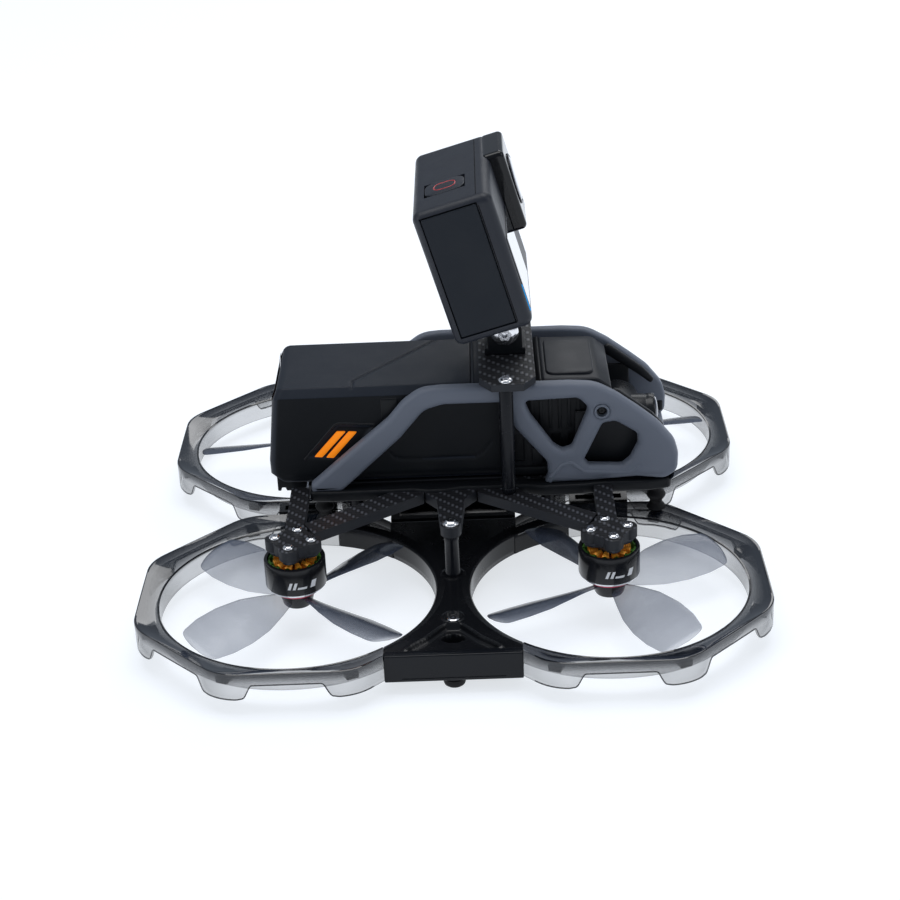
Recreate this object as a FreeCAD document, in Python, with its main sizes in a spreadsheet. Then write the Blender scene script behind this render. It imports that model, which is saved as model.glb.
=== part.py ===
import FreeCAD, Part
import math
import os
import re
import Sketcher

# A ducted racing quadcopter, in millimetres.
# +X is forward, +Y is the left side, +Z is up.  The origin is under the centre of the
# four ducts, on the surface that the rubber feet stand on.

DRIVING_SIZES = {
    # four ducts, one round each propeller
    "ring_dx": 50.56, "ring_dy": 55.65, "lip_top": 12.5, "lip_radius": 44.9, "duct_wall": 1.2,
    "duct_flat": 50.9, "duct_corner": 15.0, "rim_top": 14.5, "flat_low": 9.8, "tab_low": 5.2,
    "tab_width": 14.0, "inner_low": 5.1, "rib_width": 4.5, "rib_low": 8.2,
    # black bridges that join the ducts, and their feet
    "bridge_half": 21.4, "bridge_face": 98.4, "bridge_inner": 10.5, "bridge_low": 4.5,
    "bridge_top": 14.0, "hub_floor": 8.0, "end_half": 10.0, "end_side": 3.1, "end_low": 5.2,
    "foot_radius": 3.5, "foot_out": 92.8, "pocket_deep": 1.2, "access_radius": 3.0,
    # carbon main plate with its arms
    "plate_top": 32.5, "plate_thick": 3.6, "plate_rear": -48.0, "plate_front": 74.0,
    "body_half": 24.0, "pad_radius": 6.6, "pad_lobe": 3.2, "leg_half": 3.0, "leg_in": 20.0, "post_out": 49.0,
    # posts, dampers and the power board between the ducts and the plate
    "post_radius": 2.5, "low_post_x": 33.0, "low_post_y": 7.4, "damper_radius": 3.3,
    "damper_front": 70.0, "damper_rear": -44.0, "damper_y": 8.0, "band_top": 14.1,
    "board_half_x": 16.0, "board_half_y": 8.4, "board_low": 24.2, "board_thick": 1.6,
    # inverted motors
    "screw_circle": 6.0, "neck_radius": 4.4, "base_lobe": 2.5, "base_low": 27.4, "tube_radius": 3.1,
    "coil_inner": 3.2, "coil_outer": 7.9, "coil_low": 17.6, "coil_high": 25.9, "coil_half": 0.8,
    "bell_radius": 9.9, "bell_wall": 1.2, "bell_low": 15.5, "bell_floor": 16.9, "bell_top": 26.3,
    "bell_chamfer": 1.3, "shaft_radius": 1.0, "shaft_top": 27.6, "shaft_gap": 0.05,
    "spacer_radius": 7.2, "spacer_low": 14.5,
    # propellers
    "hub_radius": 5.8, "hub_low": 9.1, "prop_radius": 43.3, "prop_plane": 12.0,
    # cage round the battery and the electronics
    "cage_inner": 20.9, "cage_outer": 25.3, "rail_top": 69.5, "rail_low": 63.3, "cage_foot": 32.6,
    "nose_rear": 63.0, "nose_top": 36.4, "cage_screw_x": 50.6, "cage_screw_z": 59.0,
    # electronics core, its top cover and the gimbal camera
    "core_rear": 18.0, "core_front": 49.0, "core_half": 17.5, "core_top": 64.9,
    "cover_rear": 31.0, "cover_front": 54.4, "cover_top": 68.2, "cover_half": 18.0,
    "gimbal_x": 58.0, "gimbal_z": 46.5, "gimbal_radius": 7.5, "gimbal_half": 11.5,
    "barrel_radius": 6.3, "barrel_front": 70.0, "glass_front": 71.2, "glass_radius": 5.4,
    "fork_inner": 12.2, "fork_outer": 14.6, "pivot_radius": 1.6,
    # battery and its tray
    "tray_top": 34.0, "tray_half": 20.4, "pack_rear": -60.2, "pack_front": 17.0, "pack_half": 20.5,
    "pack_low": 34.3, "pack_top": 68.3, "pack_shoulder": 66.0, "pack_crown": 18.6,
    "latch_rear": -22.0, "latch_front": -16.0, "latch_low": 56.8, "latch_high": 64.6,
    "latch_back": 18.7, "latch_face": 20.55, "latch_room": 17.4, "side_play": 0.3,
    "button_z": 50.0, "button_radius": 3.0, "button_face": -60.0, "button_back": -58.2,
    "button_room": -57.0,
    # carbon crossbar on two standoffs, with the tilting mount
    "standoff_x": 19.4, "standoff_y": 28.6, "standoff_radius": 2.3, "bar_low": 70.4,
    "bar_thick": 2.5, "bar_rear": 10.8, "bar_front": 29.2, "bar_end": 31.5, "bar_shoulder": 25.5,
    "tilt_x": 19.8, "tilt_z": 81.3, "rest_tilt": 15.8, "prong_radius": 5.8, "mount_half": 6.8,
    "mount_top": 75.2, "bolt_radius": 2.45, "bolt_bore": 2.52, "bolt_head": 4.75, "nut_radius": 4.6,
    "prong_outer": 7.6, "prong_gap_low": 1.5, "prong_gap_high": 4.6, "finger_low": 1.7,
    "finger_high": 4.4, "bolt_head_out": 10.6, "nut_out": 10.8,
    # action camera, measured from the tilt bolt with the camera upright
    "cam_rear": -13.8, "cam_split": 10.0, "cam_front": 12.1, "cam_side": 30.5, "cam_low": 8.4,
    "cam_high": 55.1, "cam_corner": 2.2, "door_rear": -11.2, "door_front": 6.9, "door_low": 11.5,
    "door_thick": 1.4, "lens_near": 6.0, "lens_far": 29.6, "lens_low": 27.0, "lens_front": 17.0,
    "lens_glass": 17.8, "lens_radius": 7.5, "screen_near": -27.5, "screen_far": 3.5,
    "screen_low": 13.5, "screen_high": 38.0, "screen_front": 12.5,
    "shutter_rear": -9.3, "shutter_front": 3.9, "shutter_near": -16.8, "shutter_far": -5.2,
    "shutter_low": 53.2, "shutter_high": 55.4, "shutter_room": 52.4,
    "mode_x": -3.0, "mode_z": 38.0, "mode_radius": 3.0, "mode_in": 29.2, "mode_out": 30.8,
    "mode_room": 28.4, "play": 0.15,
}

CORNERS = {"front_left": (1, 1), "front_right": (1, -1), "rear_left": (-1, 1), "rear_right": (-1, -1)}
SPIN_SIGN = {"front_left": -1, "front_right": 1, "rear_left": 1, "rear_right": -1}
BLADE_START = {"front_left": 12.0, "front_right": 27.5, "rear_left": 5.0, "rear_right": 47.0}
SIDES = {"left": 1, "right": -1}

doc = FreeCAD.newDocument("racing_quadcopter")
sheet = doc.addObject("Spreadsheet::Sheet", "Sizes")
for row, (alias, value) in enumerate(DRIVING_SIZES.items(), start=1):
    sheet.set(f"A{row}", alias)
    sheet.set(f"B{row}", str(value))
    sheet.setAlias(f"B{row}", alias)
doc.recompute()

sub_parts = []


# ---------------------------------------------------------------- small makers

def cells(expression):
    """The expression with each alias pointed at the sheet: every alias holds an underscore."""
    text = re.sub(r"\b([a-z]+(?:_[a-z]+)+|play)\b", r"Sizes.\1", str(expression))
    return f"({text}) * 1"


def number(expression):
    """The value of an expression on the sheet's cells."""
    return float(sheet.evalExpression(str(expression)))


def bind(thing, **settings):
    """Ties properties to the sheet, with __ standing for a dot in a property's path."""
    for name, expression in settings.items():
        thing.setExpression(name.replace("__", "."), cells(expression))
    return thing


def move(thing, x="0", y="0", z="0"):
    return bind(thing, Placement__Base__x=x, Placement__Base__y=y, Placement__Base__z=z)


def box(x, y, z):
    """A block from (low, high) pairs along each axis."""
    block = doc.addObject("Part::Box", "Block")
    spans = {"Length": x, "Width": y, "Height": z}
    for name, (low, high) in spans.items():
        block.setExpression(name, cells(f"({high}) - ({low})"))
    return move(block, x[0], y[0], z[0])


def rod(radius, low, high, x="0", y="0", z="0", axis="z"):
    """A round bar along an axis from low to high, centred on the two other coordinates."""
    bar = doc.addObject("Part::Cylinder", "Bar")
    bind(bar, Radius=radius, Height=f"({high}) - ({low})")
    if axis == "x":
        bar.Placement.Rotation = FreeCAD.Rotation(FreeCAD.Vector(0, 1, 0), 90)
        return move(bar, low, y, z)
    if axis == "y":
        bar.Placement.Rotation = FreeCAD.Rotation(FreeCAD.Vector(1, 0, 0), -90)
        return move(bar, x, low, z)
    return move(bar, x, y, low)


def cut(base, *tools):
    result = doc.addObject("Part::Cut", "Cut")
    result.Base = base
    result.Tool = tools[0] if len(tools) == 1 else group(*tools)
    return result


def fuse(*pieces):
    result = doc.addObject("Part::MultiFuse", "Fuse")
    result.Shapes = list(pieces)
    return result


def common(first, second):
    result = doc.addObject("Part::MultiCommon", "Common")
    result.Shapes = [first, second]
    return result


def group(*pieces):
    result = doc.addObject("Part::Compound", "Group")
    result.Links = list(pieces)
    return result


def node(label, thing):
    """Names a finished sub-part."""
    thing.Label = label
    sub_parts.append(thing)
    return thing


def draw_loop(sketch, loop):
    """A closed outline of (x, y) corners, each held by two distances from the origin."""
    first = sketch.GeometryCount
    count = len(loop)
    corners = [FreeCAD.Vector(number(x), number(y), 0) for x, y in loop]
    for index, corner in enumerate(corners):
        sketch.addGeometry(Part.LineSegment(corner, corners[(index + 1) % count]), False)
    for index in range(count):
        following = first + (index + 1) % count
        sketch.addConstraint(Sketcher.Constraint("Coincident", first + index, 2, following, 1))
    for index, (corner, pair) in enumerate(zip(corners, loop)):
        for kind, start, expression in zip(("DistanceX", "DistanceY"), corner, pair):
            rule = Sketcher.Constraint(kind, -1, 1, first + index, 1, start)
            place = sketch.addConstraint(rule)
            sketch.setExpression(f"Constraints[{place}]", cells(expression))


def draw_circle(sketch, x, y, radius):
    centre = FreeCAD.Vector(number(x), number(y), 0)
    circle = Part.Circle(centre, FreeCAD.Vector(0, 0, 1), number(radius))
    place = sketch.addGeometry(circle, False)
    size = sketch.addConstraint(Sketcher.Constraint("Radius", place, number(radius)))
    sketch.setExpression(f"Constraints[{size}]", cells(radius))
    for kind, start, expression in (("DistanceX", centre.x, x), ("DistanceY", centre.y, y)):
        rule = sketch.addConstraint(Sketcher.Constraint(kind, -1, 1, place, 3, start))
        sketch.setExpression(f"Constraints[{rule}]", cells(expression))


def new_sketch(body, plane, offset="0"):
    sketch = body.newObject("Sketcher::SketchObject", "Profile")
    support = [item for item in body.Origin.OriginFeatures if item.Role == plane][0]
    sketch.AttachmentSupport = [(support, "")]
    sketch.MapMode = "FlatFace"
    sketch.setExpression("AttachmentOffset.Base.z", cells(offset))
    return sketch


def pad(plane, loops, low, high, rounds=()):
    """A body padded from low to high along the plane's axis.

    A loop is a list of corners, or a circle as (x, y, radius).  Rounds are pairs of a
    radius and the corners that get it.
    """
    body = doc.addObject("PartDesign::Body", "Body")
    offset = f"-({high})" if plane == "XZ_Plane" else low
    sketch = new_sketch(body, plane, offset)
    for loop in loops:
        if isinstance(loop, tuple):
            draw_circle(sketch, *loop)
        else:
            draw_loop(sketch, loop)
    feature = body.newObject("PartDesign::Pad", "Pad")
    feature.Profile = (sketch, [""])
    feature.setExpression("Length", cells(f"({high}) - ({low})"))
    doc.recompute()
    for radius, corners in rounds:
        feature = round_corners(body, feature, plane, radius, corners)
    return body


def round_corners(body, base, plane, radius, corners):
    """Fillets the edges that stand on the given corners of a pad's outline."""
    flat = {"XY_Plane": ("x", "y"), "XZ_Plane": ("x", "z"), "YZ_Plane": ("y", "z")}[plane]
    spots = [(number(x), number(y)) for x, y in corners]
    names = []
    for index, edge in enumerate(base.Shape.Edges, start=1):
        ends = [[getattr(v.Point, axis) for axis in flat] for v in edge.Vertexes]
        upright = len(ends) == 2 and math.dist(ends[0], ends[1]) < 1e-6
        if upright and any(math.dist(ends[0], spot) < 1e-4 for spot in spots):
            names.append(f"Edge{index}")
    fillet = body.newObject("PartDesign::Fillet", "Round")
    fillet.Base = (base, names)
    fillet.setExpression("Radius", cells(radius))
    doc.recompute()
    return fillet


def turned(profile, x="0", y="0"):
    """A body turned about an upright axis from an outline of (radius, height) corners."""
    body = doc.addObject("PartDesign::Body", "Body")
    sketch = new_sketch(body, "XZ_Plane")
    draw_loop(sketch, profile)
    feature = body.newObject("PartDesign::Revolution", "Turn")
    feature.Profile = (sketch, [""])
    feature.ReferenceAxis = (sketch, ["V_Axis"])
    feature.Angle = 360
    return move(body, x, y)


def screws(spots, head_radius, head_low, head_high, shank_radius, shank_low):
    """Button-head screws, one solid each."""
    made = []
    for x, y in spots:
        profile = [("0", shank_low), (shank_radius, shank_low), (shank_radius, head_low),
                   (head_radius, head_low), (head_radius, f"({head_low} + {head_high}) / 2"),
                   (f"0.6 * {head_radius}", head_high), ("0", head_high)]
        made.append(turned(profile, x, y))
    return made


def tilt(thing):
    """Leans a sub-part that is drawn from the tilt bolt, as the action camera stands at rest."""
    thing.setExpression("Placement", "placement(vector(Sizes.tilt_x; 0; Sizes.tilt_z); "
                                     "rotation(vector(0; 1; 0); -Sizes.rest_tilt))")
    return thing


# ---------------------------------------------------------------- ducts and bridges

def octagon(inradius):
    """Eight corners with flats square to both axes."""
    far = f"({inradius})"
    near = f"({inradius}) * tan(22.5 deg)"
    corners = [(far, f"-{near}"), (far, near), (near, far), (f"-{near}", far),
               (f"-{far}", near), (f"-{far}", f"-{near}"), (f"-{near}", f"-{far}"), (near, f"-{far}")]
    return corners


def octagon_prism(inradius, corner, low, high):
    corners = octagon(inradius)
    return pad("XY_Plane", [corners], low, high, [(corner, corners)])


def duct_tabs():
    """Slabs through the eight corners, wider at the top, that leave the hanging tabs."""
    slabs = []
    for turn in range(4):
        low_half, high_half = "tab_width / 2", "tab_width / 2 + 3"
        outline = [(f"-({low_half})", "tab_low"), (low_half, "tab_low"),
                   (high_half, "flat_low + 0.5"), (f"-({high_half})", "flat_low + 0.5")]
        slab = pad("YZ_Plane", [outline], "-60", "60")
        slab.Placement.Rotation = FreeCAD.Rotation(FreeCAD.Vector(0, 0, 1), 22.5 + 45 * turn)
        slabs.append(slab)
    return group(*slabs)


def duct_ribs():
    """Upright ribs between the two walls at the eight corners."""
    ribs = []
    for turn in range(8):
        rib = box(("lip_radius + 0.6", "55.3"), ("-rib_width / 2", "rib_width / 2"),
                  ("rib_low", "lip_top"))
        angle = 22.5 + 45 * turn
        reach = number("lip_radius + 0.6")
        half = number("rib_width / 2")
        spin = FreeCAD.Rotation(FreeCAD.Vector(0, 0, 1), angle)
        corner = spin.multVec(FreeCAD.Vector(reach, -half, 0))
        rib.setExpression("Placement.Base.x", None)
        rib.setExpression("Placement.Base.y", None)
        rib.Placement.Rotation = spin
        rib.Placement.Base.x = corner.x
        rib.Placement.Base.y = corner.y
        ribs.append(rib)
    return ribs


def duct_ring(name, side_x, side_y):
    inside = "duct_flat - duct_wall"
    blank = octagon_prism("duct_flat", "duct_corner", "tab_low", "rim_top")
    hollow = octagon_prism(inside, "duct_corner - duct_wall", "tab_low - 1", "rim_top + 1")
    skirt = cut(blank, hollow)
    wall = common(skirt, fuse(box(("-60", "60"), ("-60", "60"), ("flat_low", "rim_top")), duct_tabs()))
    blank_top = octagon_prism("duct_flat", "duct_corner", "lip_top - 3", "rim_top")
    slope = turned([("lip_radius", "lip_top - duct_wall"), ("lip_radius", "lip_top"),
                    ("lip_radius + 3.2", "lip_top + 0.3"), ("58", "rim_top + 0.4"),
                    ("58", "rim_top - duct_wall + 0.4"), ("lip_radius + 3.2", "lip_top - duct_wall + 0.3")])
    flange = common(blank_top, slope)
    inner = turned([("lip_radius - 0.4", "inner_low"), ("lip_radius + 0.8", "inner_low"),
                    ("lip_radius + duct_wall", "lip_top - 0.2"), ("lip_radius", "lip_top")])
    ribs = common(group(*duct_ribs()), octagon_prism("duct_flat - 0.4", "duct_corner", "rib_low", "rim_top"))
    ring = fuse(wall, flange, inner, ribs)
    edge = "ring_dx - bridge_half"
    span = (f"-({edge}) - 40", f"-({edge})") if side_x > 0 else (edge, f"{edge} + 40")
    ring = cut(ring, box(span, ("-60", "60"), ("0", "20")))
    move(ring, f"{side_x} * ring_dx", f"{side_y} * ring_dy")
    return node(f"duct_ring_{name}", ring)


def bridge_blank(margin, low, high):
    """The plan between the round openings, drawn in by a margin, as a block."""
    radius = f"lip_radius + {margin}"
    block = box((f"-bridge_half + {margin}", f"bridge_half - {margin}"),
                (f"-bridge_face + {margin}", f"-bridge_inner - {margin}"), (low, high))
    holes = [rod(radius, "0", "20", f"{sign} * ring_dx", "-ring_dy") for sign in (1, -1)]
    return cut(block, *holes)


def side_bridge(side, sign):
    shell = cut(bridge_blank("0", "bridge_low", "bridge_top"),
                bridge_blank("duct_wall", "bridge_low - 1", "bridge_top - 1.6"))
    boss = rod("foot_radius + 1", "bridge_low", "bridge_top - 1", "0", "-foot_out")
    post_boss = rod("post_radius + 1", "bridge_low", "bridge_top - 1", "0", "-post_out")
    web = box(("-0.8", "0.8"), ("-foot_out", "-post_out"), ("bridge_low + 2", "bridge_top - 1"))
    solid = fuse(shell, boss, post_boss, web)
    pocket = pad("XY_Plane", [[("-14", "-93.4"), ("14", "-93.4"), ("2", "-79.6"), ("-2", "-79.6")]],
                 "bridge_top - pocket_deep", "bridge_top + 1")
    access = rod("access_radius", "bridge_top - 4", "bridge_top + 1", "0", "-86")
    seat = rod("access_radius", "bridge_top - 1", "bridge_top + 1", "0", "-76")
    bridge = cut(solid, pocket, access, seat)
    if sign > 0:
        bridge.Placement.Rotation = FreeCAD.Rotation(FreeCAD.Vector(0, 0, 1), 180)
    return node(f"side_bridge_{side}", bridge)


def end_bridge(name, sign):
    middle = f"{sign} * ring_dx"
    block = box((f"{middle} - end_half", f"{middle} + end_half"), ("-end_side", "end_side"),
                ("end_low", "rim_top"))
    slot = box((f"{middle} - end_half + 2", f"{middle} + end_half - 2"), ("-1.6", "1.6"),
               ("rim_top - 1.5", "rim_top + 1"))
    return node(f"end_bridge_{name}", cut(block, slot))


def duct_hub():
    panel = box(("-bridge_half", "bridge_half"), ("-bridge_inner", "bridge_inner"),
                ("hub_floor", "bridge_top"))
    well = box(("-bridge_half + 3", "bridge_half - 3"), ("-bridge_inner + 2.5", "bridge_inner - 2.5"),
               ("hub_floor + 2", "bridge_top + 1"))
    return node("duct_hub", cut(panel, well))


def landing_feet():
    def foot(x, y, top):
        return turned([("0", "0"), ("foot_radius - 0.8", "0"), ("foot_radius", "0.8"),
                       ("foot_radius", top), ("0", top)], x, y)
    feet = [foot("0", f"{sign} * foot_out", "bridge_low") for sign in (1, -1)]
    feet += [foot(f"{sign} * ring_dx", "0", "end_low") for sign in (1, -1)]
    return node("landing_feet", group(*feet))


# ---------------------------------------------------------------- plate and posts

def corner_spots(radius, turn):
    """Four (x, y) offsets on a circle, the first at the given turn in degrees."""
    angles = [math.radians(turn + 90 * step) for step in range(4)]
    return [(f"{radius} * {math.cos(a):.6f}", f"{radius} * {math.sin(a):.6f}") for a in angles]


def motor_screw_spots():
    spots = []
    for name, (side_x, side_y) in CORNERS.items():
        turn = 10 * side_x * -side_y
        for x, y in corner_spots("screw_circle", turn):
            spots.append((f"{side_x} * ring_dx + {x}", f"{side_y} * ring_dy + {y}"))
    return spots


def plate_arms():
    """The slanted arm, the straight leg and the lobed pad at each motor."""
    low, high = "plate_top - plate_thick", "plate_top"
    arms = []
    for side_x, side_y in CORNERS.values():
        corners = [("44", "52.5"), ("9", "28"), ("9", "20"), ("16.4", "23"), ("47.5", "45.5")]
        outline = [(f"{side_x} * {x}", f"{side_y} * {y}") for x, y in corners]
        arms.append(pad("XY_Plane", [outline], low, high))
        spans = [f"{side_x} * (ring_dx - leg_half)", f"{side_x} * (ring_dx + leg_half)"]
        reach = [f"{side_y} * leg_in", f"{side_y} * ring_dy"]
        ordered_x = sorted(spans, key=number)
        ordered_y = sorted(reach, key=number)
        arms.append(box(tuple(ordered_x), tuple(ordered_y), (low, high)))
        arms.append(rod("pad_radius", low, high, f"{side_x} * ring_dx", f"{side_y} * ring_dy"))
    arms += [rod("pad_lobe", low, high, x, y) for x, y in motor_screw_spots()]
    return arms


def standoff_lugs():
    """Small ears of the carbon plate that the standoffs stand on."""
    low, high = "plate_top - plate_thick", "plate_top"
    return [rod("4", low, high, "standoff_x", f"{sign} * standoff_y") for sign in (1, -1)]


def main_plate():
    low, high = "plate_top - plate_thick", "plate_top"
    body = pad("XY_Plane", [[("plate_rear", "-18"), ("plate_rear + 6", "-body_half"),
                             ("62", "-body_half"), ("plate_front", "-15"), ("plate_front", "15"),
                             ("62", "body_half"), ("plate_rear + 6", "body_half"), ("plate_rear", "18")]],
               low, high)
    tabs = []
    for sign in SIDES.values():
        half = [("-9.5", "20"), ("-8.5", "27"), ("-4.6", "32.4"), ("-3.4", "post_out"),
                ("3.4", "post_out"), ("4.6", "32.4"), ("8.5", "27"), ("9.5", "20")]
        tabs.append(pad("XY_Plane", [[(x, f"{sign} * {y}") for x, y in half]], low, high))
        tabs.append(rod("3.4", low, high, "0", f"{sign} * post_out"))
    plate = fuse(body, *plate_arms(), *tabs, *standoff_lugs())
    holes = [rod("1.1", low + " - 1", high + " + 1", x, y) for x, y in motor_screw_spots()]
    holes += [rod("1.6", low + " - 1", high + " + 1", "0", f"{sign} * post_out") for sign in (1, -1)]
    return node("main_plate", cut(plate, *holes))


def motor_screws():
    made = screws(motor_screw_spots(), "1.9", "plate_top", "plate_top + 1.2", "1", "base_low + 0.4")
    return node("motor_screws", group(*made))


def frame_screws():
    made = screws([("0", "post_out"), ("0", "-post_out")], "2.85", "plate_top", "plate_top + 1.65",
                  "1.45", "plate_top - 9")
    bar_top = "bar_low + bar_thick"
    made += screws([("standoff_x", "standoff_y"), ("standoff_x", "-standoff_y")], "2.4", bar_top,
                   f"{bar_top} + 1.5", "1.45", "bar_low - 6")
    return node("frame_screws", group(*made))


def bored_post(radius, low, high, bore_low, x, y):
    return cut(rod(radius, low, high, x, y), rod("1.5", bore_low, f"{high} + 1", x, y))


def centre_posts():
    top = "plate_top - plate_thick"
    made = [bored_post("post_radius", "bridge_top", top, f"{top} - 6", "0", f"{sign} * post_out")
            for sign in (1, -1)]
    return node("centre_posts", group(*made))


def lower_posts():
    made = [rod("post_radius", "band_top", "plate_top - plate_thick", f"{sx} * low_post_x",
                f"{sy} * low_post_y") for sx in (1, -1) for sy in (1, -1)]
    return node("lower_posts", group(*made))


def dampers():
    """Rubber bellows of three bulges between the ducts and the plate."""
    made = []
    top = "plate_top - plate_thick"
    for x in ("damper_front", "damper_rear"):
        for sign in (1, -1):
            profile = [("0", "band_top"), ("damper_radius", "band_top")]
            for step in range(1, 6):
                waist = "damper_radius" if step % 2 == 0 else "damper_radius - 1.1"
                profile.append((waist, f"band_top + ({top} - band_top) * {step} / 6"))
            profile += [("damper_radius", top), ("0", top)]
            made.append(turned(profile, x, f"{sign} * damper_y"))
    return node("dampers", group(*made))


def power_board():
    board = box(("-board_half_x", "board_half_x"), ("-board_half_y", "board_half_y"),
                ("board_low", "board_low + board_thick"))
    node("power_board", board)
    spacers = [rod("1.5", "board_low + board_thick", "plate_top - plate_thick",
                   f"{sx} * (board_half_x - 2)", f"{sy} * (board_half_y - 2)")
               for sx in (1, -1) for sy in (1, -1)]
    node("board_spacers", group(*spacers))


# ---------------------------------------------------------------- motors and propellers

def motor_base(name, x, y, turn):
    """The bearing tube with a four-lobed flange that the motor screws go into."""
    flange_top = "plate_top - plate_thick"
    profile = [("shaft_radius + shaft_gap", "coil_low - 0.2"), ("tube_radius", "coil_low - 0.2"),
               ("tube_radius", "base_low"), ("neck_radius", "base_low"), ("neck_radius", flange_top),
               ("shaft_radius + shaft_gap", flange_top)]
    spots = [(f"{x} + {dx}", f"{y} + {dy}") for dx, dy in corner_spots("screw_circle", turn)]
    lobes = [rod("base_lobe", "base_low", flange_top, *spot) for spot in spots]
    holes = [rod("1.05", "base_low - 1", f"{flange_top} + 1", *spot) for spot in spots]
    return node(f"motor_base_{name}", cut(fuse(turned(profile, x, y), *lobes), *holes))


def windings(name, x, y):
    """Twelve wound teeth round the bearing tube, one solid each."""
    coils = []
    for step in range(12):
        coil = doc.addObject("Part::Wedge", "Coil")
        bind(coil, Xmin="coil_inner", Xmax="coil_outer", Ymin="coil_low", Ymax="coil_high",
             Zmin="-coil_half", Zmax="coil_half", X2min="coil_inner", X2max="coil_outer",
             Z2min="-coil_half", Z2max="coil_half")
        upright = FreeCAD.Rotation(FreeCAD.Vector(1, 0, 0), 90)
        coil.Placement.Rotation = FreeCAD.Rotation(FreeCAD.Vector(0, 0, 1), 30 * step).multiply(upright)
        move(coil, x, y)
        coils.append(coil)
    return node(f"windings_{name}", group(*coils))


def motor_bell(name, x, y):
    wall = "bell_radius - bell_wall"
    profile = [("0", "spacer_low"), ("spacer_radius", "spacer_low"), ("spacer_radius", "bell_low"),
               ("bell_radius - bell_chamfer", "bell_low"), ("bell_radius", "bell_low + bell_chamfer"),
               ("bell_radius", "bell_top"), (wall, "bell_top"), (wall, "bell_floor"),
               ("shaft_radius", "bell_floor"), ("shaft_radius", "shaft_top"), ("0", "shaft_top")]
    return node(f"motor_bell_{name}", turned(profile, x, y))


def blade_section(radius, chord, thick, pitch, sign):
    """A six-sided cambered section, square to the radius along +X."""
    half = chord / 2
    outline = [(half, 0), (half * 0.35, thick * 1.1), (-half * 0.35, thick * 0.9),
               (-half, 0), (-half * 0.35, -thick * 0.1), (half * 0.35, thick * 0.1)]
    plane = number("prop_plane")
    lean = math.radians(pitch)
    points = []
    for along, up in outline:
        across = along * math.cos(lean) - up * math.sin(lean)
        height = along * math.sin(lean) + up * math.cos(lean)
        points.append(FreeCAD.Vector(radius, sign * across, plane + height))
    points.append(points[0])
    return Part.makePolygon(points)


def propeller(name, side_x, side_y):
    """A four-blade propeller, its blades lofted through seven sections."""
    tip = number("prop_radius")
    hub = number("hub_radius")
    # share of the radius, chord, thickness, pitch in degrees
    sections = [(0.12, 5.5, 1.5, 32), (0.24, 9.5, 1.4, 30), (0.42, 15.0, 1.1, 26), (0.62, 18.0, 0.9, 21.5),
                (0.8, 17.5, 0.8, 19.5), (0.93, 14.5, 0.7, 17.5), (0.995, 8.5, 0.6, 16)]
    sign = SPIN_SIGN[name]
    wires = [blade_section(tip * share, chord, thick, pitch, sign)
             for share, chord, thick, pitch in sections]
    blade = Part.makeLoft(wires, True, True)
    height = number("spacer_low - hub_low")
    shape = Part.makeCylinder(hub, height, FreeCAD.Vector(0, 0, number("hub_low")))
    for step in range(4):
        turned_blade = blade.copy()
        turned_blade.rotate(FreeCAD.Vector(), FreeCAD.Vector(0, 0, 1), BLADE_START[name] + 90 * step)
        shape = shape.fuse(turned_blade)
    feature = doc.addObject("Part::Feature", "Propeller")
    feature.Shape = shape.removeSplitter()
    move(feature, f"{side_x} * ring_dx", f"{side_y} * ring_dy")
    return node(f"propeller_{name}", feature)


# ---------------------------------------------------------------- cage and electronics

CAGE_OUTLINE = [
    ("-46.4", "cage_foot"), ("-46.4", "36.4"), ("-19.6", "58"), ("-15.4", "63.3"), ("-11.9", "66.8"),
    ("-5.2", "rail_top"), ("42", "rail_top"), ("47.4", "68.9"), ("53.4", "65.7"), ("63.2", "58.8"),
    ("68.8", "53.9"), ("71.4", "51.2"), ("74.8", "46.6"), ("75.8", "42.9"), ("74.2", "37.4"),
    ("73.6", "cage_foot"), ("31.5", "cage_foot"), ("32.9", "40.3"), ("22.3", "53.6"),
    ("20", "rail_low"), ("-2.2", "rail_low"), ("-8.9", "60.4"), ("-15.9", "51.6"), ("-37", "cage_foot")]
FRONT_WINDOW = [("51.6", "54.6"), ("54.8", "54.8"), ("62", "50.1"), ("62.4", "47.2"), ("59.7", "41"),
                ("57.1", "38.9"), ("46.5", "39.3"), ("44.8", "40.9")]
UPPER_WINDOW = [("26", "62.9"), ("43.5", "63.6"), ("46", "59.9"), ("40", "45.5"), ("37.6", "45.3"),
                ("35", "46.9")]


def body_cage():
    """Two open side walls joined by a low bar across the nose."""
    walls = []
    for sign in (1, -1):
        low, high = sorted([f"{sign} * cage_inner", f"{sign} * cage_outer"], key=number)
        wall = pad("XZ_Plane", [CAGE_OUTLINE, UPPER_WINDOW, FRONT_WINDOW], low, high)
        hole = rod("1.6", low + " - 1", high + " + 1", "cage_screw_x", "0", "cage_screw_z", "y")
        walls.append(cut(wall, hole))
    nose = box(("nose_rear", "73.6"), ("-cage_outer", "cage_outer"), ("cage_foot", "nose_top"))
    return node("body_cage", fuse(*walls, nose))


def cage_screws():
    """Countersunk screws from the cage's sides into the electronics core."""
    made = []
    for sign in (1, -1):
        low, high = sorted([f"{sign} * 18.2", f"{sign} * (cage_outer - 0.6)"], key=number)
        made.append(rod("1.5", low, high, "cage_screw_x", "0", "cage_screw_z", "y"))
    return node("cage_screws", group(*made))


def electronics_core():
    block = box(("core_rear", "core_front"), ("-core_half", "core_half"), ("cage_foot", "core_top"))
    ears = [box(("core_front - 1", "cage_screw_x + 2"), (f"{low}", f"{high}"), ("56.8", "61.2"))
            for low, high in (("-18", "-12.4"), ("12.4", "18"))]
    core = fuse(block, *ears)
    vents = [box((f"core_rear + 4 + 6 * {step}", f"core_rear + 7 + 6 * {step}"), ("-30", "-core_half + 1"),
                 ("38", "48")) for step in range(4)]
    return node("electronics_core", cut(core, *vents))


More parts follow.
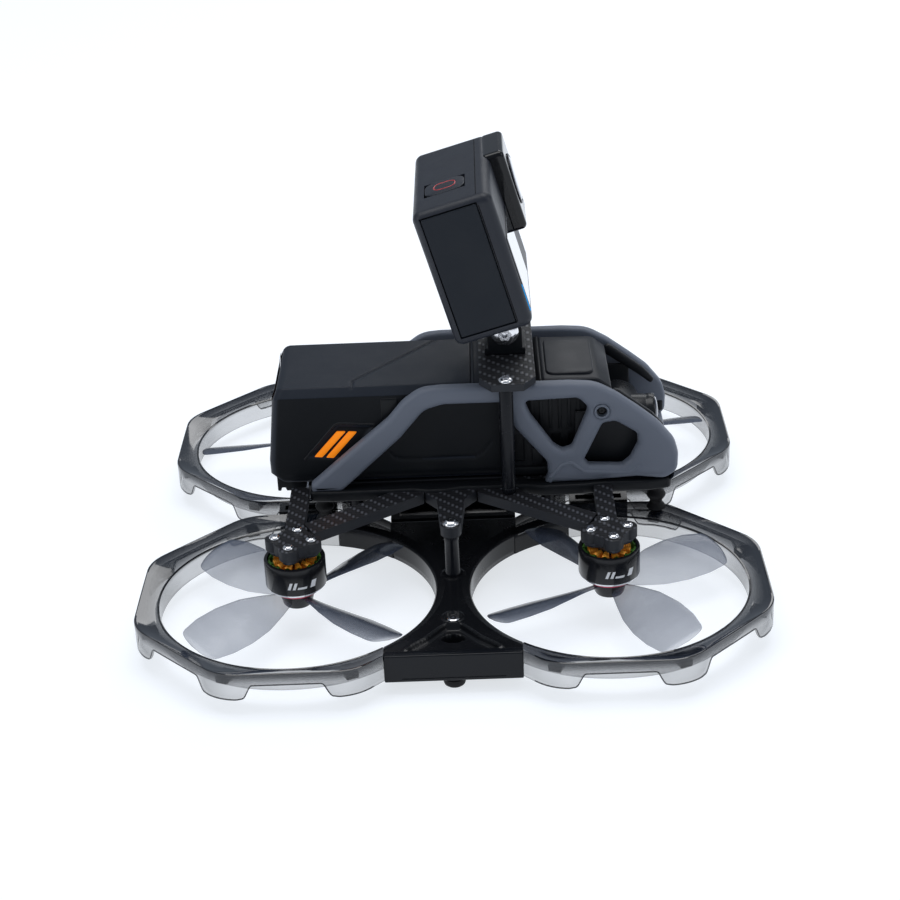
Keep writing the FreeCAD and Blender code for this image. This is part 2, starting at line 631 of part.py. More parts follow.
def top_cover():
    outline = [("cover_rear", "core_top + 0.1"), ("cover_rear", "cover_top"),
               ("cover_front - 4.2", "cover_top - 0.4"), ("cover_front", "64.4"),
               ("cover_front", "62.6"), ("cover_front - 4.4", "core_top + 0.1")]
    cover = pad("XZ_Plane", [outline], "-cover_half", "cover_half")
    return node("top_cover", cover)


def gimbal_fork():
    """Two ears in front of the core that carry the gimbal camera's pivots."""
    ears = []
    for sign in (1, -1):
        low, high = sorted([f"{sign} * fork_inner", f"{sign} * fork_outer"], key=number)
        ear = fuse(box(("core_front", "gimbal_x"), (low, high), ("gimbal_z - 3.2", "gimbal_z + 3.2")),
                   rod("3.2", low, high, "gimbal_x", "0", "gimbal_z", "y"))
        bore = rod("pivot_radius + 0.05", low + " - 1", high + " + 1", "gimbal_x", "0", "gimbal_z", "y")
        ears.append(cut(ear, bore))
    return node("gimbal_fork", group(*ears))


def gimbal_camera():
    drum = rod("gimbal_radius", "-gimbal_half", "gimbal_half", "gimbal_x", "0", "gimbal_z", "y")
    pivots = rod("pivot_radius", "-fork_outer", "fork_outer", "gimbal_x", "0", "gimbal_z", "y")
    barrel = rod("barrel_radius", "gimbal_x", "barrel_front", "0", "0", "gimbal_z", "x")
    seat = rod("glass_radius", "barrel_front - 0.8", "barrel_front + 1", "0", "0", "gimbal_z", "x")
    node("gimbal_camera", cut(fuse(drum, pivots, barrel), seat))
    node("gimbal_lens", rod("glass_radius", "barrel_front - 0.8", "glass_front", "0", "0",
                            "gimbal_z", "x"))


# ---------------------------------------------------------------- battery

def battery_tray():
    floor = box(("plate_rear + 6", "core_rear - 0.5"), ("-tray_half", "tray_half"), ("plate_top", "tray_top"))
    return node("battery_tray", floor)


def battery():
    """A smart battery with shoulders along its top, a leaning rear and a hook under it."""
    outline = [("-57", "pack_low"), ("pack_rear", "38"), ("pack_rear", "42"), ("-57.6", "pack_shoulder"),
               ("-55.6", "pack_top"), ("pack_front", "pack_top"), ("pack_front", "pack_low")]
    side_view = pad("XZ_Plane", [outline], "-pack_half", "pack_half")
    section = [("-pack_half", "pack_low - 1"), ("pack_half", "pack_low - 1"), ("pack_half", "pack_shoulder"),
               ("pack_crown", "pack_top"), ("-pack_crown", "pack_top"), ("-pack_half", "pack_shoulder")]
    end_view = pad("YZ_Plane", [section], "pack_rear - 5", "pack_front + 5")
    hook = box(("-58.4", "plate_rear - 0.6"), ("-18", "18"), ("30.4", "pack_low + 3"))
    case = fuse(common(side_view, end_view), hook)
    rooms = []
    for sign in (1, -1):
        low, high = sorted([f"{sign} * latch_room", f"{sign} * 22"], key=number)
        rooms.append(box(("latch_rear - side_play", "latch_front + side_play"), (low, high),
                         ("latch_low - side_play", "latch_high + side_play")))
    rooms.append(rod("button_radius + 0.15", "pack_rear - 3", "button_room", "0", "0", "button_z", "x"))
    return node("battery_case", cut(case, *rooms))


def battery_controls():
    for side, sign in SIDES.items():
        low, high = sorted([f"{sign} * latch_back", f"{sign} * latch_face"], key=number)
        node(f"battery_latch_{side}", box(("latch_rear", "latch_front"), (low, high),
                                          ("latch_low", "latch_high")))
    node("power_button", rod("button_radius", "button_face", "button_back", "0", "0", "button_z", "x"))


# ---------------------------------------------------------------- crossbar and tilting mount

def standoffs():
    made = [bored_post("standoff_radius", "plate_top", "bar_low", "bar_low - 6.5", "standoff_x",
                       f"{sign} * standoff_y") for sign in (1, -1)]
    return node("standoffs", group(*made))


def crossbar():
    half = [("bar_rear", "bar_shoulder"), ("bar_rear + 4", "bar_end"), ("bar_front - 4", "bar_end"),
            ("bar_front", "bar_shoulder")]
    outline = half + [(x, f"-{y}") for x, y in reversed(half)]
    holes = [("standoff_x", f"{sign} * standoff_y", "1.6") for sign in (1, -1)]
    return node("crossbar", pad("XY_Plane", [outline, *holes], "bar_low", "bar_low + bar_thick"))


def tilt_mount():
    base = box(("tilt_x - mount_half", "tilt_x + mount_half"), ("-prong_outer", "prong_outer"),
               ("bar_low + bar_thick", "mount_top"))
    spans = [("-prong_outer", "-prong_gap_high"), ("-prong_gap_low", "prong_gap_low"),
             ("prong_gap_high", "prong_outer")]
    prongs = []
    for span in spans:
        prongs.append(box(("tilt_x - prong_radius", "tilt_x + prong_radius"), span, ("mount_top", "tilt_z")))
        prongs.append(rod("prong_radius", *span, "tilt_x", "0", "tilt_z", "y"))
    bore = rod("bolt_bore", "-20", "20", "tilt_x", "0", "tilt_z", "y")
    return node("tilt_mount", cut(fuse(base, *prongs), bore))


def tilt_bolt():
    head = rod("bolt_head", "-bolt_head_out", "-prong_outer - 0.05", "tilt_x", "0", "tilt_z", "y")
    shank = rod("bolt_radius", "-prong_outer - 0.1", "nut_out", "tilt_x", "0", "tilt_z", "y")
    node("tilt_bolt", fuse(head, shank))
    nut = doc.addObject("Part::Prism", "Nut")
    nut.Polygon = 6
    bind(nut, Circumradius="nut_radius", Height="nut_out - prong_outer - 0.4")
    nut.Placement.Rotation = FreeCAD.Rotation(FreeCAD.Vector(1, 0, 0), -90)
    move(nut, "tilt_x", "prong_outer + 0.05", "tilt_z")
    bore = rod("bolt_radius + 0.01", "0", "20", "tilt_x", "0", "tilt_z", "y")
    node("tilt_nut", cut(nut, bore))


# ---------------------------------------------------------------- action camera

def camera_outline():
    return [("-cam_side", "cam_low"), ("cam_side", "cam_low"), ("cam_side", "cam_high"),
            ("-cam_side", "cam_high")]


def camera_body():
    outline = camera_outline()
    case = pad("YZ_Plane", [outline], "cam_rear", "cam_split", [("cam_corner", outline)])
    fingers = []
    for sign in (1, -1):
        low, high = sorted([f"{sign} * finger_low", f"{sign} * finger_high"], key=number)
        fingers.append(box(("-prong_radius", "prong_radius"), (low, high), ("0", "cam_low + 0.5")))
        fingers.append(rod("prong_radius", low, high, axis="y"))
    bore = rod("bolt_bore", "-8", "8", axis="y")
    door_room = box(("door_rear - play", "door_front + play"), ("-cam_side - 1", "-cam_side + door_thick + play"),
                    ("door_low - play", "cam_high - cam_corner + play"))
    shutter_room = box(("shutter_rear - play", "shutter_front + play"),
                       ("shutter_near - play", "shutter_far + play"), ("shutter_room", "cam_high + 1"))
    mode_room = rod("mode_radius + play", "mode_room", "cam_side + 1", "mode_x", "0", "mode_z", "y")
    body = cut(fuse(case, *fingers), bore, door_room, shutter_room, mode_room)
    return node("camera_body", tilt(body))


def camera_details():
    outline = camera_outline()
    bezel = pad("YZ_Plane", [outline], "cam_split", "cam_front", [("cam_corner", outline)])
    node("camera_bezel", tilt(bezel))
    module = box(("cam_front", "lens_front"), ("lens_near", "lens_far"), ("lens_low", "cam_high"))
    middle_y, middle_z = "(lens_near + lens_far) / 2", "(lens_low + cam_high) / 2"
    seat = rod("lens_radius", "lens_front - 1.5", "lens_front + 1", "0", middle_y, middle_z, "x")
    node("camera_lens_housing", tilt(cut(module, seat)))
    glass = rod("lens_radius", "lens_front - 1.5", "lens_glass", "0", middle_y, middle_z, "x")
    node("camera_lens_glass", tilt_single(glass))
    screen = box(("cam_front", "screen_front"), ("screen_near", "screen_far"), ("screen_low", "screen_high"))
    node("camera_screen", tilt_single(screen))


def tilt_single(thing):
    """Leans one primitive, held in a group so that its own place stays bound to the sheet."""
    return tilt(group(thing))


def camera_controls():
    shutter = box(("shutter_rear", "shutter_front"), ("shutter_near", "shutter_far"),
                  ("shutter_low", "shutter_high"))
    node("shutter_button", tilt_single(shutter))
    mode = rod("mode_radius", "mode_in", "mode_out", "mode_x", "0", "mode_z", "y")
    node("mode_button", tilt_single(mode))
    door = box(("door_rear", "door_front"), ("-cam_side", "-cam_side + door_thick"),
               ("door_low", "cam_high - cam_corner"))
    node("camera_door", tilt_single(door))


# ---------------------------------------------------------------- assembly and export

def build():
    for name, (side_x, side_y) in CORNERS.items():
        duct_ring(name, side_x, side_y)
        x, y = f"{side_x} * ring_dx", f"{side_y} * ring_dy"
        motor_base(name, x, y, 10 * side_x * -side_y)
        windings(name, x, y)
        motor_bell(name, x, y)
        propeller(name, side_x, side_y)
    for side, sign in SIDES.items():
        side_bridge(side, sign)
    end_bridge("front", 1)
    end_bridge("rear", -1)
    for maker in (duct_hub, landing_feet, main_plate, motor_screws, frame_screws, centre_posts, lower_posts,
                  dampers, power_board, body_cage, cage_screws, electronics_core, top_cover, gimbal_fork,
                  gimbal_camera, battery_tray, battery, battery_controls, standoffs, crossbar, tilt_mount,
                  tilt_bolt, camera_body, camera_details, camera_controls):
        maker()


def check():
    """Stops on any object that failed to recompute and on any null or invalid sub-part."""
    for thing in doc.Objects:
        if {"Invalid", "Error"} & set(thing.State):
            raise RuntimeError(f"{thing.Name} ({thing.Label}) failed: {thing.State}")
    for part in sub_parts:
        shape = part.Shape
        if shape.isNull() or not shape.isValid() or not shape.Solids:
            raise RuntimeError(f"{part.Label} has no valid solid")


def export():
    os.makedirs("parts", exist_ok=True)
    for part in sub_parts:
        part.Shape.exportStep(f"parts/{part.Label}.step")
    print(len(sub_parts), "sub-parts written")


build()
doc.recompute()
check()
export()
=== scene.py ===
import math

import bmesh
import bpy
import numpy as np
from mathutils import Matrix, Vector
from mathutils.geometry import tessellate_polygon


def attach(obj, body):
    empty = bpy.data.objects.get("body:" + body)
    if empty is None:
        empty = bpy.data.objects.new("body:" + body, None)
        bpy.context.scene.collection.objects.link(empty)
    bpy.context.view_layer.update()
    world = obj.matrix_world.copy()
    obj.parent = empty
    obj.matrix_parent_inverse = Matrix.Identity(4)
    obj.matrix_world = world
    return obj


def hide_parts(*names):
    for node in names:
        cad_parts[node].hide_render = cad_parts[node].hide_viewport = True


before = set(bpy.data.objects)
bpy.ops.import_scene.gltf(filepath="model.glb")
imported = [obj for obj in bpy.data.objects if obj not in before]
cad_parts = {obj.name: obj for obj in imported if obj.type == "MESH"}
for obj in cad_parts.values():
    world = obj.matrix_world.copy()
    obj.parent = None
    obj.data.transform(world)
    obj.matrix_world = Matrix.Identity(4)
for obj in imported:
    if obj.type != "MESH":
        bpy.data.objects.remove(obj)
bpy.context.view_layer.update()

# ------------------------------------------------------------------ studio
# A plain pale sweep under soft panels, with the camera beside the right-hand pair of
# ducts, a little above them.  None of it belongs to the quadcopter.

scene = bpy.context.scene
scene.view_settings.view_transform = "Standard"

EYE_TURN, EYE_RISE, EYE_ROLL = (math.radians(a) for a in (1.252, 26.433, -2.692))
EYE_TARGET = Vector((-0.00114, 0.044476, 0.0125))
EYE_DISTANCE = 0.73251
EYE_LENS = 79.34

backward = Vector((math.sin(EYE_TURN) * math.cos(EYE_RISE),
                   -math.cos(EYE_TURN) * math.cos(EYE_RISE), math.sin(EYE_RISE)))
level = (-backward).cross(Vector((0, 0, 1))).normalized()
upward = level.cross(-backward)
right = math.cos(EYE_ROLL) * level + math.sin(EYE_ROLL) * upward
above = -math.sin(EYE_ROLL) * level + math.cos(EYE_ROLL) * upward
eye = bpy.data.objects.new("eye", bpy.data.cameras.new("eye"))
eye.data.lens = EYE_LENS
eye.data.sensor_width = 36
eye.data.clip_start = 0.01
placement = Matrix((right, above, backward)).transposed().to_4x4()
placement.translation = EYE_TARGET + backward * EYE_DISTANCE
eye.matrix_world = placement
scene.collection.objects.link(eye)
scene.camera = eye

world = bpy.data.worlds.new("studio_air")
scene.world = world
world.use_nodes = True
world.node_tree.nodes["Background"].inputs["Color"].default_value = (0.76, 0.86, 1.0, 1)
world.node_tree.nodes["Background"].inputs["Strength"].default_value = 0.30


def soft_panel(name, place, aim, width, height, power):
    """A rectangular soft light at a place, facing an aim point."""
    light = bpy.data.lights.new(name, "AREA")
    light.shape = "RECTANGLE"
    light.size, light.size_y, light.energy = width, height, power
    panel = bpy.data.objects.new(name, light)
    panel.location = place
    panel.rotation_euler = (Vector(aim) - Vector(place)).to_track_quat("-Z", "Y").to_euler()
    scene.collection.objects.link(panel)


soft_panel("panel_top", (0.0, 0.15, 1.5), (0, 0.05, 0), 1.3, 1.0, 13)
soft_panel("panel_left", (-1.1, -0.6, 0.8), (0, 0, 0.05), 0.6, 0.9, 3.5)
soft_panel("panel_back", (0.5, 1.2, 0.9), (0, 0, 0.05), 1.2, 0.5, 4)
soft_panel("panel_right", (1.2, -0.4, 0.7), (0, 0, 0.05), 0.5, 0.9, 2.5)

sweep_mesh = bpy.data.meshes.new("sweep")
SWEEP_HALF = 6.0
sweep_mesh.from_pydata([(-SWEEP_HALF, -SWEEP_HALF, 0), (SWEEP_HALF, -SWEEP_HALF, 0),
                        (SWEEP_HALF, SWEEP_HALF, 0), (-SWEEP_HALF, SWEEP_HALF, 0)], [], [(0, 1, 2, 3)])
sweep = bpy.data.objects.new("sweep", sweep_mesh)
scene.collection.objects.link(sweep)
paper = bpy.data.materials.new("sweep_paper")
paper.use_nodes = True
paper_shader = paper.node_tree.nodes["Principled BSDF"]
paper_shader.inputs["Base Color"].default_value = (0.36, 0.38, 0.42, 1)
paper_shader.inputs["Roughness"].default_value = 0.85
paper_shader.inputs["Emission Color"].default_value = (0.93, 0.965, 1.0, 1)
paper_shader.inputs["Emission Strength"].default_value = 0.74
sweep_mesh.materials.append(paper)

# ------------------------------------------------------------------ ducts
# Four guards moulded in clear smoke-grey plastic, each an upside-down channel: a round
# inner wall, a sloping top and an eight-sided outer wall with tabs at its corners.

MM = 0.001
RING_X, RING_Y = 50.56, 55.65
LIP, DUCT_FLAT = 44.9, 50.9
CORNERS = {"front_left": (1, 1), "front_right": (1, -1), "rear_left": (-1, 1), "rear_right": (-1, -1)}


class Shell:
    """Gathers grids of points, in millimetres, and their faces into one mesh."""

    def __init__(self):
        self.points, self.faces, self.count = [], [], 0

    def add(self, points, faces):
        points = np.asarray(points, float).reshape(-1, 3)
        self.points.append(points)
        self.faces += [[int(corner) + self.count for corner in face] for face in faces]
        self.count += len(points)
        return self


def grid_faces(rows, columns, ring_rows=False, ring_columns=False):
    """Four-cornered faces between neighbouring rows and columns; a ring joins its last to its first."""
    r = np.arange(rows if ring_rows else rows - 1)[:, None]
    c = np.arange(columns if ring_columns else columns - 1)[None, :]
    r_next, c_next = (r + 1) % rows, (c + 1) % columns
    return np.stack([r * columns + c, r * columns + c_next, r_next * columns + c_next,
                     r_next * columns + c], -1).reshape(-1, 4)


def finish_piece(name, shell, material, body, nodes=(), sharp=32):
    """Puts a shell into an object that rides on a body: doubles merged, faces outward,
    edges sharper than the given angle kept crisp."""
    mesh = bpy.data.meshes.new(name)
    mesh.from_pydata((np.concatenate(shell.points) * MM).tolist(), [], shell.faces)
    work = bmesh.new()
    work.from_mesh(mesh)
    bmesh.ops.remove_doubles(work, verts=work.verts, dist=2e-6)
    bmesh.ops.recalc_face_normals(work, faces=work.faces)
    work.to_mesh(mesh)
    work.free()
    mesh.shade_smooth()
    mesh.set_sharp_from_angle(angle=math.radians(sharp))
    mesh.materials.append(material)
    piece = bpy.data.objects.new(name, mesh)
    scene.collection.objects.link(piece)
    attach(piece, body)
    if nodes:
        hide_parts(*nodes)
    return piece


def new_material(name, **settings):
    """A Principled material with its plain settings on the shader's own sockets."""
    material = bpy.data.materials.new(name)
    material.use_nodes = True
    shader = material.node_tree.nodes["Principled BSDF"]
    for key, value in settings.items():
        if isinstance(value, tuple):
            value = (*value, 1)
        shader.inputs[key.replace("_", " ")].default_value = value
    return material, material.node_tree, shader


def wire(tree, kind, inputs=(), **settings):
    """Adds a node, sets its properties, then links or sets its inputs by name or number."""
    made = tree.nodes.new(kind)
    for key, value in settings.items():
        setattr(made, key, value)
    for key, value in dict(inputs).items():
        if isinstance(value, bpy.types.NodeSocket):
            tree.links.new(value, made.inputs[key])
        else:
            made.inputs[key].default_value = value
    return made


def sums(tree, operation, *values, clamp=False):
    """One Math node on numbers or sockets."""
    return wire(tree, "ShaderNodeMath", enumerate(values), operation=operation, use_clamp=clamp).outputs[0]


def new_group(name, inputs, outputs):
    """A shader node group with named sockets; inputs carry their usual values."""
    group = bpy.data.node_groups.new(name, "ShaderNodeTree")
    for label, (kind, value) in inputs.items():
        socket = group.interface.new_socket(label, in_out="INPUT", socket_type=f"NodeSocket{kind}")
        if value is not None:
            socket.default_value = value
    for label, kind in outputs.items():
        group.interface.new_socket(label, in_out="OUTPUT", socket_type=f"NodeSocket{kind}")
    return group, group.nodes.new("NodeGroupInput"), group.nodes.new("NodeGroupOutput")


def moulding_group():
    """Moulded-plastic surface: broad tone drift, fine grain height and patchy roughness."""
    group, given, result = new_group(
        "moulding", {"Place": ("Vector", None), "Tone": ("Color", (0.05, 0.05, 0.05, 1)),
                     "Drift": ("Float", 0.15), "Rough": ("Float", 0.4), "Grain Size": ("Float", 0.3)},
        {"Color": "Color", "Roughness": "Float", "Height": "Float"})
    broad = wire(group, "ShaderNodeTexNoise", {"Vector": given.outputs["Place"], "Scale": 90.0,
                                               "Detail": 4.0}).outputs[0]
    rate = sums(group, "DIVIDE", 1000.0, given.outputs["Grain Size"])
    fine = wire(group, "ShaderNodeTexNoise", {"Vector": given.outputs["Place"], "Scale": rate,
                                              "Detail": 2.0}).outputs[0]
    swing = sums(group, "MULTIPLY_ADD", sums(group, "SUBTRACT", broad, 0.5), given.outputs["Drift"], 1.0)
    swing = sums(group, "MULTIPLY_ADD", sums(group, "SUBTRACT", fine, 0.5), given.outputs["Drift"], swing)
    tone = wire(group, "ShaderNodeVectorMath", {0: given.outputs["Tone"], "Scale": swing},
                operation="SCALE").outputs[0]
    rough = sums(group, "MULTIPLY_ADD", sums(group, "SUBTRACT", broad, 0.5), 0.25, given.outputs["Rough"])
    rough = sums(group, "MULTIPLY_ADD", sums(group, "SUBTRACT", fine, 0.5), 0.12, rough, clamp=True)
    for label, value in (("Color", tone), ("Roughness", rough), ("Height", fine)):
        group.links.new(value, result.inputs[label])
    return group


MOULDING = moulding_group()


def moulded(name, tone, rough=0.4, drift=0.15, grain=0.3, depth=0.01, **settings):
    """A plastic, rubber or painted finish on the moulding group, with its grain as a bump in millimetres."""
    material, tree, shader = new_material(name, **settings)
    place = wire(tree, "ShaderNodeTexCoord").outputs["Object"]
    made = wire(tree, "ShaderNodeGroup", node_tree=MOULDING)
    tree.links.new(place, made.inputs["Place"])
    for label, value in (("Tone", (*tone, 1)), ("Drift", drift), ("Rough", rough), ("Grain Size", grain)):
        made.inputs[label].default_value = value
    tree.links.new(made.outputs["Color"], shader.inputs["Base Color"])
    tree.links.new(made.outputs["Roughness"], shader.inputs["Roughness"])
    bump = wire(tree, "ShaderNodeBump", {"Height": made.outputs["Height"], "Distance": depth * MM})
    tree.links.new(bump.outputs["Normal"], shader.inputs["Normal"])
    return material


def smoked(name, tone, clear, dense, top_clear):
    """See-through smoke plastic: thin low walls let more through than the thick top, and
    any wall seen edge-on is darker because the eye looks through more of it."""
    material, tree, shader = new_material(name, Base_Color=tone, Roughness=0.06, Specular_IOR_Level=0.6,
                                          Coat_Weight=0.6, Coat_Roughness=0.03)
    place = wire(tree, "ShaderNodeTexCoord").outputs["Object"]
    height = wire(tree, "ShaderNodeSeparateXYZ", {0: place}).outputs["Z"]
    thick = wire(tree, "ShaderNodeMapRange", {"Value": height, "From Min": 10.8 * MM, "From Max": 13.7 * MM,
                                              "To Min": clear, "To Max": top_clear}).outputs[0]
    swirl = wire(tree, "ShaderNodeTexNoise", {"Vector": place, "Scale": 60.0, "Detail": 3.0}).outputs[0]
    thick = sums(tree, "MULTIPLY_ADD", sums(tree, "SUBTRACT", swirl, 0.5), 0.12, thick)
    edge = wire(tree, "ShaderNodeLayerWeight", {"Blend": 0.30}).outputs["Facing"]
    edge = sums(tree, "POWER", edge, 1.6)
    opaque = sums(tree, "MULTIPLY_ADD", edge, dense, thick, clamp=True)
    tree.links.new(opaque, shader.inputs["Alpha"])
    haze = sums(tree, "MULTIPLY_ADD", swirl, 0.08, 0.03)
    tree.links.new(haze, shader.inputs["Roughness"])
    return material


def outer_reach(angle):
    """Distance from the ring's centre to the eight-sided wall with rounded corners: the
    flat's distance over the cosine, and past the flat's end the far cut of a corner circle."""
    flat, corner = DUCT_FLAT, 15.0
    off_flat = (angle + math.pi / 8) % (math.pi / 4) - math.pi / 8
    off_corner = math.pi / 8 - np.abs(off_flat)
    spine = (flat - corner) / math.cos(math.pi / 8)
    on_corner = spine * np.cos(off_corner) + np.sqrt(corner ** 2 - (spine * np.sin(off_corner)) ** 2)
    flat_end = math.atan((flat - corner) * math.tan(math.pi / 8) / flat)
    return np.where(np.abs(off_flat) < flat_end, flat / np.cos(off_flat), on_corner)


def smooth(low, high, value):
    """Eases from nought to one as the value goes from low to high."""
    share = np.clip((value - low) / (high - low), 0, 1)
    return share * share * (3 - 2 * share)


def duct_shell(side_x, side_y):
    """The channel: at each angle a closed outline of radius and height goes up the inner
    wall, over the lip, up the slope, over the rim, down to the hem and back inside.  The
    hem is low at the tabs.  The angle runs to where the black bridge takes over."""
    steps = 560
    turn = np.linspace(-1, 1, steps)[:, None]
    cut_x = RING_X - 21.4

    def reach_end(radius):
        return math.pi - math.acos(min(1.0, cut_x / radius))

    outer_end = reach_end(DUCT_FLAT)
    for _ in range(12):
        outer_end = reach_end(float(outer_reach(np.array(outer_end))))
    # share: 0 at the inner wall, 1 at the outer one; height; follows the hem or not
    outline = [(0.00, 5.1, 0), (0.00, 8.0, 0), (0.00, 11.4, 0), (0.02, 12.1, 0), (0.10, 12.5, 0),
               (0.25, 12.75, 0), (0.6, 13.5, 0), (0.86, 14.2, 0), (0.95, 14.5, 0), (0.985, 14.42, 0),
               (1.00, 14.1, 0), (1.00, 12.6, 0), (1.00, 11.0, 0), (1.00, 0.5, 1), (0.985, 0.05, 1),
               (0.90, 0.0, 1), (0.84, 0.4, 1), (0.83, 11.0, 0), (0.80, 12.3, 0), (0.6, 12.4, 0),
               (0.32, 11.6, 0), (0.2, 11.0, 0), (0.17, 8.0, 0), (0.155, 5.5, 0), (0.10, 5.0, 0)]
    share, height, hem = (np.array(column)[None, :] for column in zip(*outline))
    angle = turn * ((1 - share) * reach_end(LIP) + share * outer_end)
    radius = LIP + share * (outer_reach(angle) - LIP)
    z = np.where(hem > 0, hem_height(angle) + height, height + 0 * angle)
    x = radius * np.cos(angle)
    y = radius * np.sin(angle)
    points = np.stack([x * side_x + RING_X * side_x, y * side_y + RING_Y * side_y, z], -1)
    count = share.shape[1]
    shell = Shell().add(points, grid_faces(steps, count, ring_columns=True))
    for end in (0, steps - 1):
        middle = points[end].mean(0, keepdims=True)
        ring = np.arange(count)
        fan = np.stack([ring, (ring + 1) % count, np.full(count, count)], -1)
        shell.add(np.concatenate([points[end], middle]), fan)
    return shell


def hem_height(angle):
    """How high the outer wall ends: low at the corner tabs and on to the bridges, raised between tabs."""
    off_corner = np.abs((angle % (math.pi / 4)) - math.pi / 8) * 52.4
    off_corner = np.where(np.abs(angle) > 5 * math.pi / 8, 0, off_corner)
    return 5.2 + 4.6 * smooth(6.6, 9.8, off_corner) + 0.35 * smooth(4.5, 7, off_corner)


def duct_edge(share, above_hem, side_x, side_y):
    """A line along the duct at one share of its width: over the hem, or on the rim or lip."""
    angle = np.linspace(-1, 1, 400) * (2.27 - 0.19 * share)
    radius = LIP + share * (outer_reach(angle) - LIP)
    z = hem_height(angle) + above_hem if above_hem is not None else np.interp(share, [0, 1],
                                                                              [12.05, 14.35]) + 0 * angle
    return np.stack([(RING_X + radius * np.cos(angle)) * side_x,
                     (RING_Y + radius * np.sin(angle)) * side_y, z], -1)


def tube(path, radius, sides=6):
    """A round section carried along a path: at each point two unit vectors square to the
    run, found by rejecting the run from a fixed side vector, span the section's plane."""
    path = np.asarray(path, float)
    run = np.gradient(path, axis=0)
    run /= np.linalg.norm(run, axis=1)[:, None]
    guide = np.array([0.31, 0.17, 0.93])
    side = guide - (run @ guide)[:, None] * run
    side /= np.linalg.norm(side, axis=1)[:, None]
    other = np.cross(run, side)
    angle = np.linspace(0, 2 * math.pi, sides, endpoint=False)
    ring = side[:, None] * np.cos(angle)[None, :, None] + other[:, None] * np.sin(angle)[None, :, None]
    return path[:, None] + radius * ring, grid_faces(len(path), sides, ring_columns=True)


def rounded_block(low, high, edge, turn=0.0, centre=(0.0, 0.0)):
    """A block with rounded edges: every direction of a sphere grid is scaled by the edge
    radius and pushed out by the block's half sizes, which leaves flats between the rounds.
    It may be turned about an upright line through the centre."""
    low, high = np.array(low, float), np.array(high, float)
    per = 4
    quarter = np.linspace(0, math.pi / 2, per)
    lap = np.concatenate([quarter + k * math.pi / 2 for k in range(4)])
    rise = np.concatenate([np.linspace(-math.pi / 2, 0, per), np.linspace(0, math.pi / 2, per)])
    ways = np.stack([np.cos(rise)[:, None] * np.cos(lap), np.cos(rise)[:, None] * np.sin(lap),
                     np.sin(rise)[:, None] + 0 * lap], -1)
    quadrant = np.repeat(np.arange(4), per)
    sign_x = np.where((quadrant == 0) | (quadrant == 3), 1, -1)
    sign_y = np.where(quadrant < 2, 1, -1)
    sign_z = np.where(np.arange(2 * per) < per, -1, 1)[:, None]
    signs = np.stack([sign_x + 0 * sign_z, sign_y + 0 * sign_z, sign_z + 0 * sign_x], -1)
    points = (low + high) / 2 + signs * ((high - low) / 2 - edge) + ways * edge
    rows, columns = points.shape[:2]
    faces = grid_faces(rows, columns, ring_columns=True)
    for row in (0, rows - 1):
        corners = row * columns + np.arange(per - 1, columns, per)
        faces = np.concatenate([faces, corners[None, :]])
    flat = points.reshape(-1, 3)
    c, s = math.cos(turn), math.sin(turn)
    flat = flat @ np.array([[c, s, 0], [-s, c, 0], [0, 0, 1]])
    flat[:, :2] += np.array(centre)
    return flat, faces


SMOKE_RIB = smoked("smoke_rib", (0.006, 0.0065, 0.008), 0.8, 0.4, 0.92)
SMOKE_WALL = smoked("smoke_wall", (0.008, 0.011, 0.018), 0.20, 0.9, 0.84)
for corner, (side_x, side_y) in CORNERS.items():
    finish_piece(f"smoke_duct_{corner}", duct_shell(side_x, side_y), SMOKE_WALL, "airframe",
                 [f"duct_ring_{corner}"], sharp=40)
    ribs = Shell()
    for step in (-2.5, -1.5, -0.5, 0.5, 1.5, 2.5):
        angle = step * math.pi / 4
        bearing = math.atan2(math.sin(angle) * side_y, math.cos(angle) * side_x)
        ribs.add(*rounded_block((46.9, -2.1, 9.9), (52.5, 2.1, 12.5), 0.5, bearing,
                                (RING_X * side_x, RING_Y * side_y)))
    for share, level, radius in ((0.965, 0.25, 0.22), (0.965, None, 0.28), (0.03, None, 0.42)):
        ribs.add(*tube(duct_edge(share, level, side_x, side_y), radius, 6))
    finish_piece(f"duct_ribs_{corner}", ribs, SMOKE_RIB, "airframe")

# ------------------------------------------------------------------ black bridges and feet
# Gloss black mouldings between the ducts: a waisted bridge at each side with a squared
# outer bar, a triangular recess and a sunk screw, and a panel and small ends between them.
# Four rubber feet are pushed into bosses under them.

BRIDGE_HALF, BRIDGE_FACE, BRIDGE_START = 21.4, 98.4, 10.6


def soft_loop(corners, radius, per=6):
    """A closed outline with its corners rounded: each corner becomes a parabola that
    leaves one side and meets the next at a reach set by the radius and half the angle."""
    spots = np.array([corner[:2] for corner in corners], float)
    rounds = np.array([corner[2] if len(corner) > 2 else radius for corner in corners], float)
    back, ahead = np.roll(spots, 1, 0) - spots, np.roll(spots, -1, 0) - spots
    back_long, ahead_long = np.linalg.norm(back, axis=1), np.linalg.norm(ahead, axis=1)
    cosine = (back * ahead).sum(1) / (back_long * ahead_long)
    half = np.arccos(np.clip(cosine, -0.9999, 0.9999)) / 2
    reach = np.minimum(rounds / np.tan(half), 0.49 * np.minimum(back_long, ahead_long))[:, None]
    start = spots + back / back_long[:, None] * reach
    stop = spots + ahead / ahead_long[:, None] * reach
    t = np.linspace(0, 1, per)[None, :, None]
    curve = (1 - t) ** 2 * start[:, None] + 2 * t * (1 - t) * spots[:, None] + t ** 2 * stop[:, None]
    return curve.reshape(-1, 2)


def circle_loop(x, y, radius, steps=32):
    """Points at equal angles round a circle."""
    angle = np.linspace(0, 2 * math.pi, steps, endpoint=False)
    return np.stack([x + radius * np.cos(angle), y + radius * np.sin(angle)], -1)


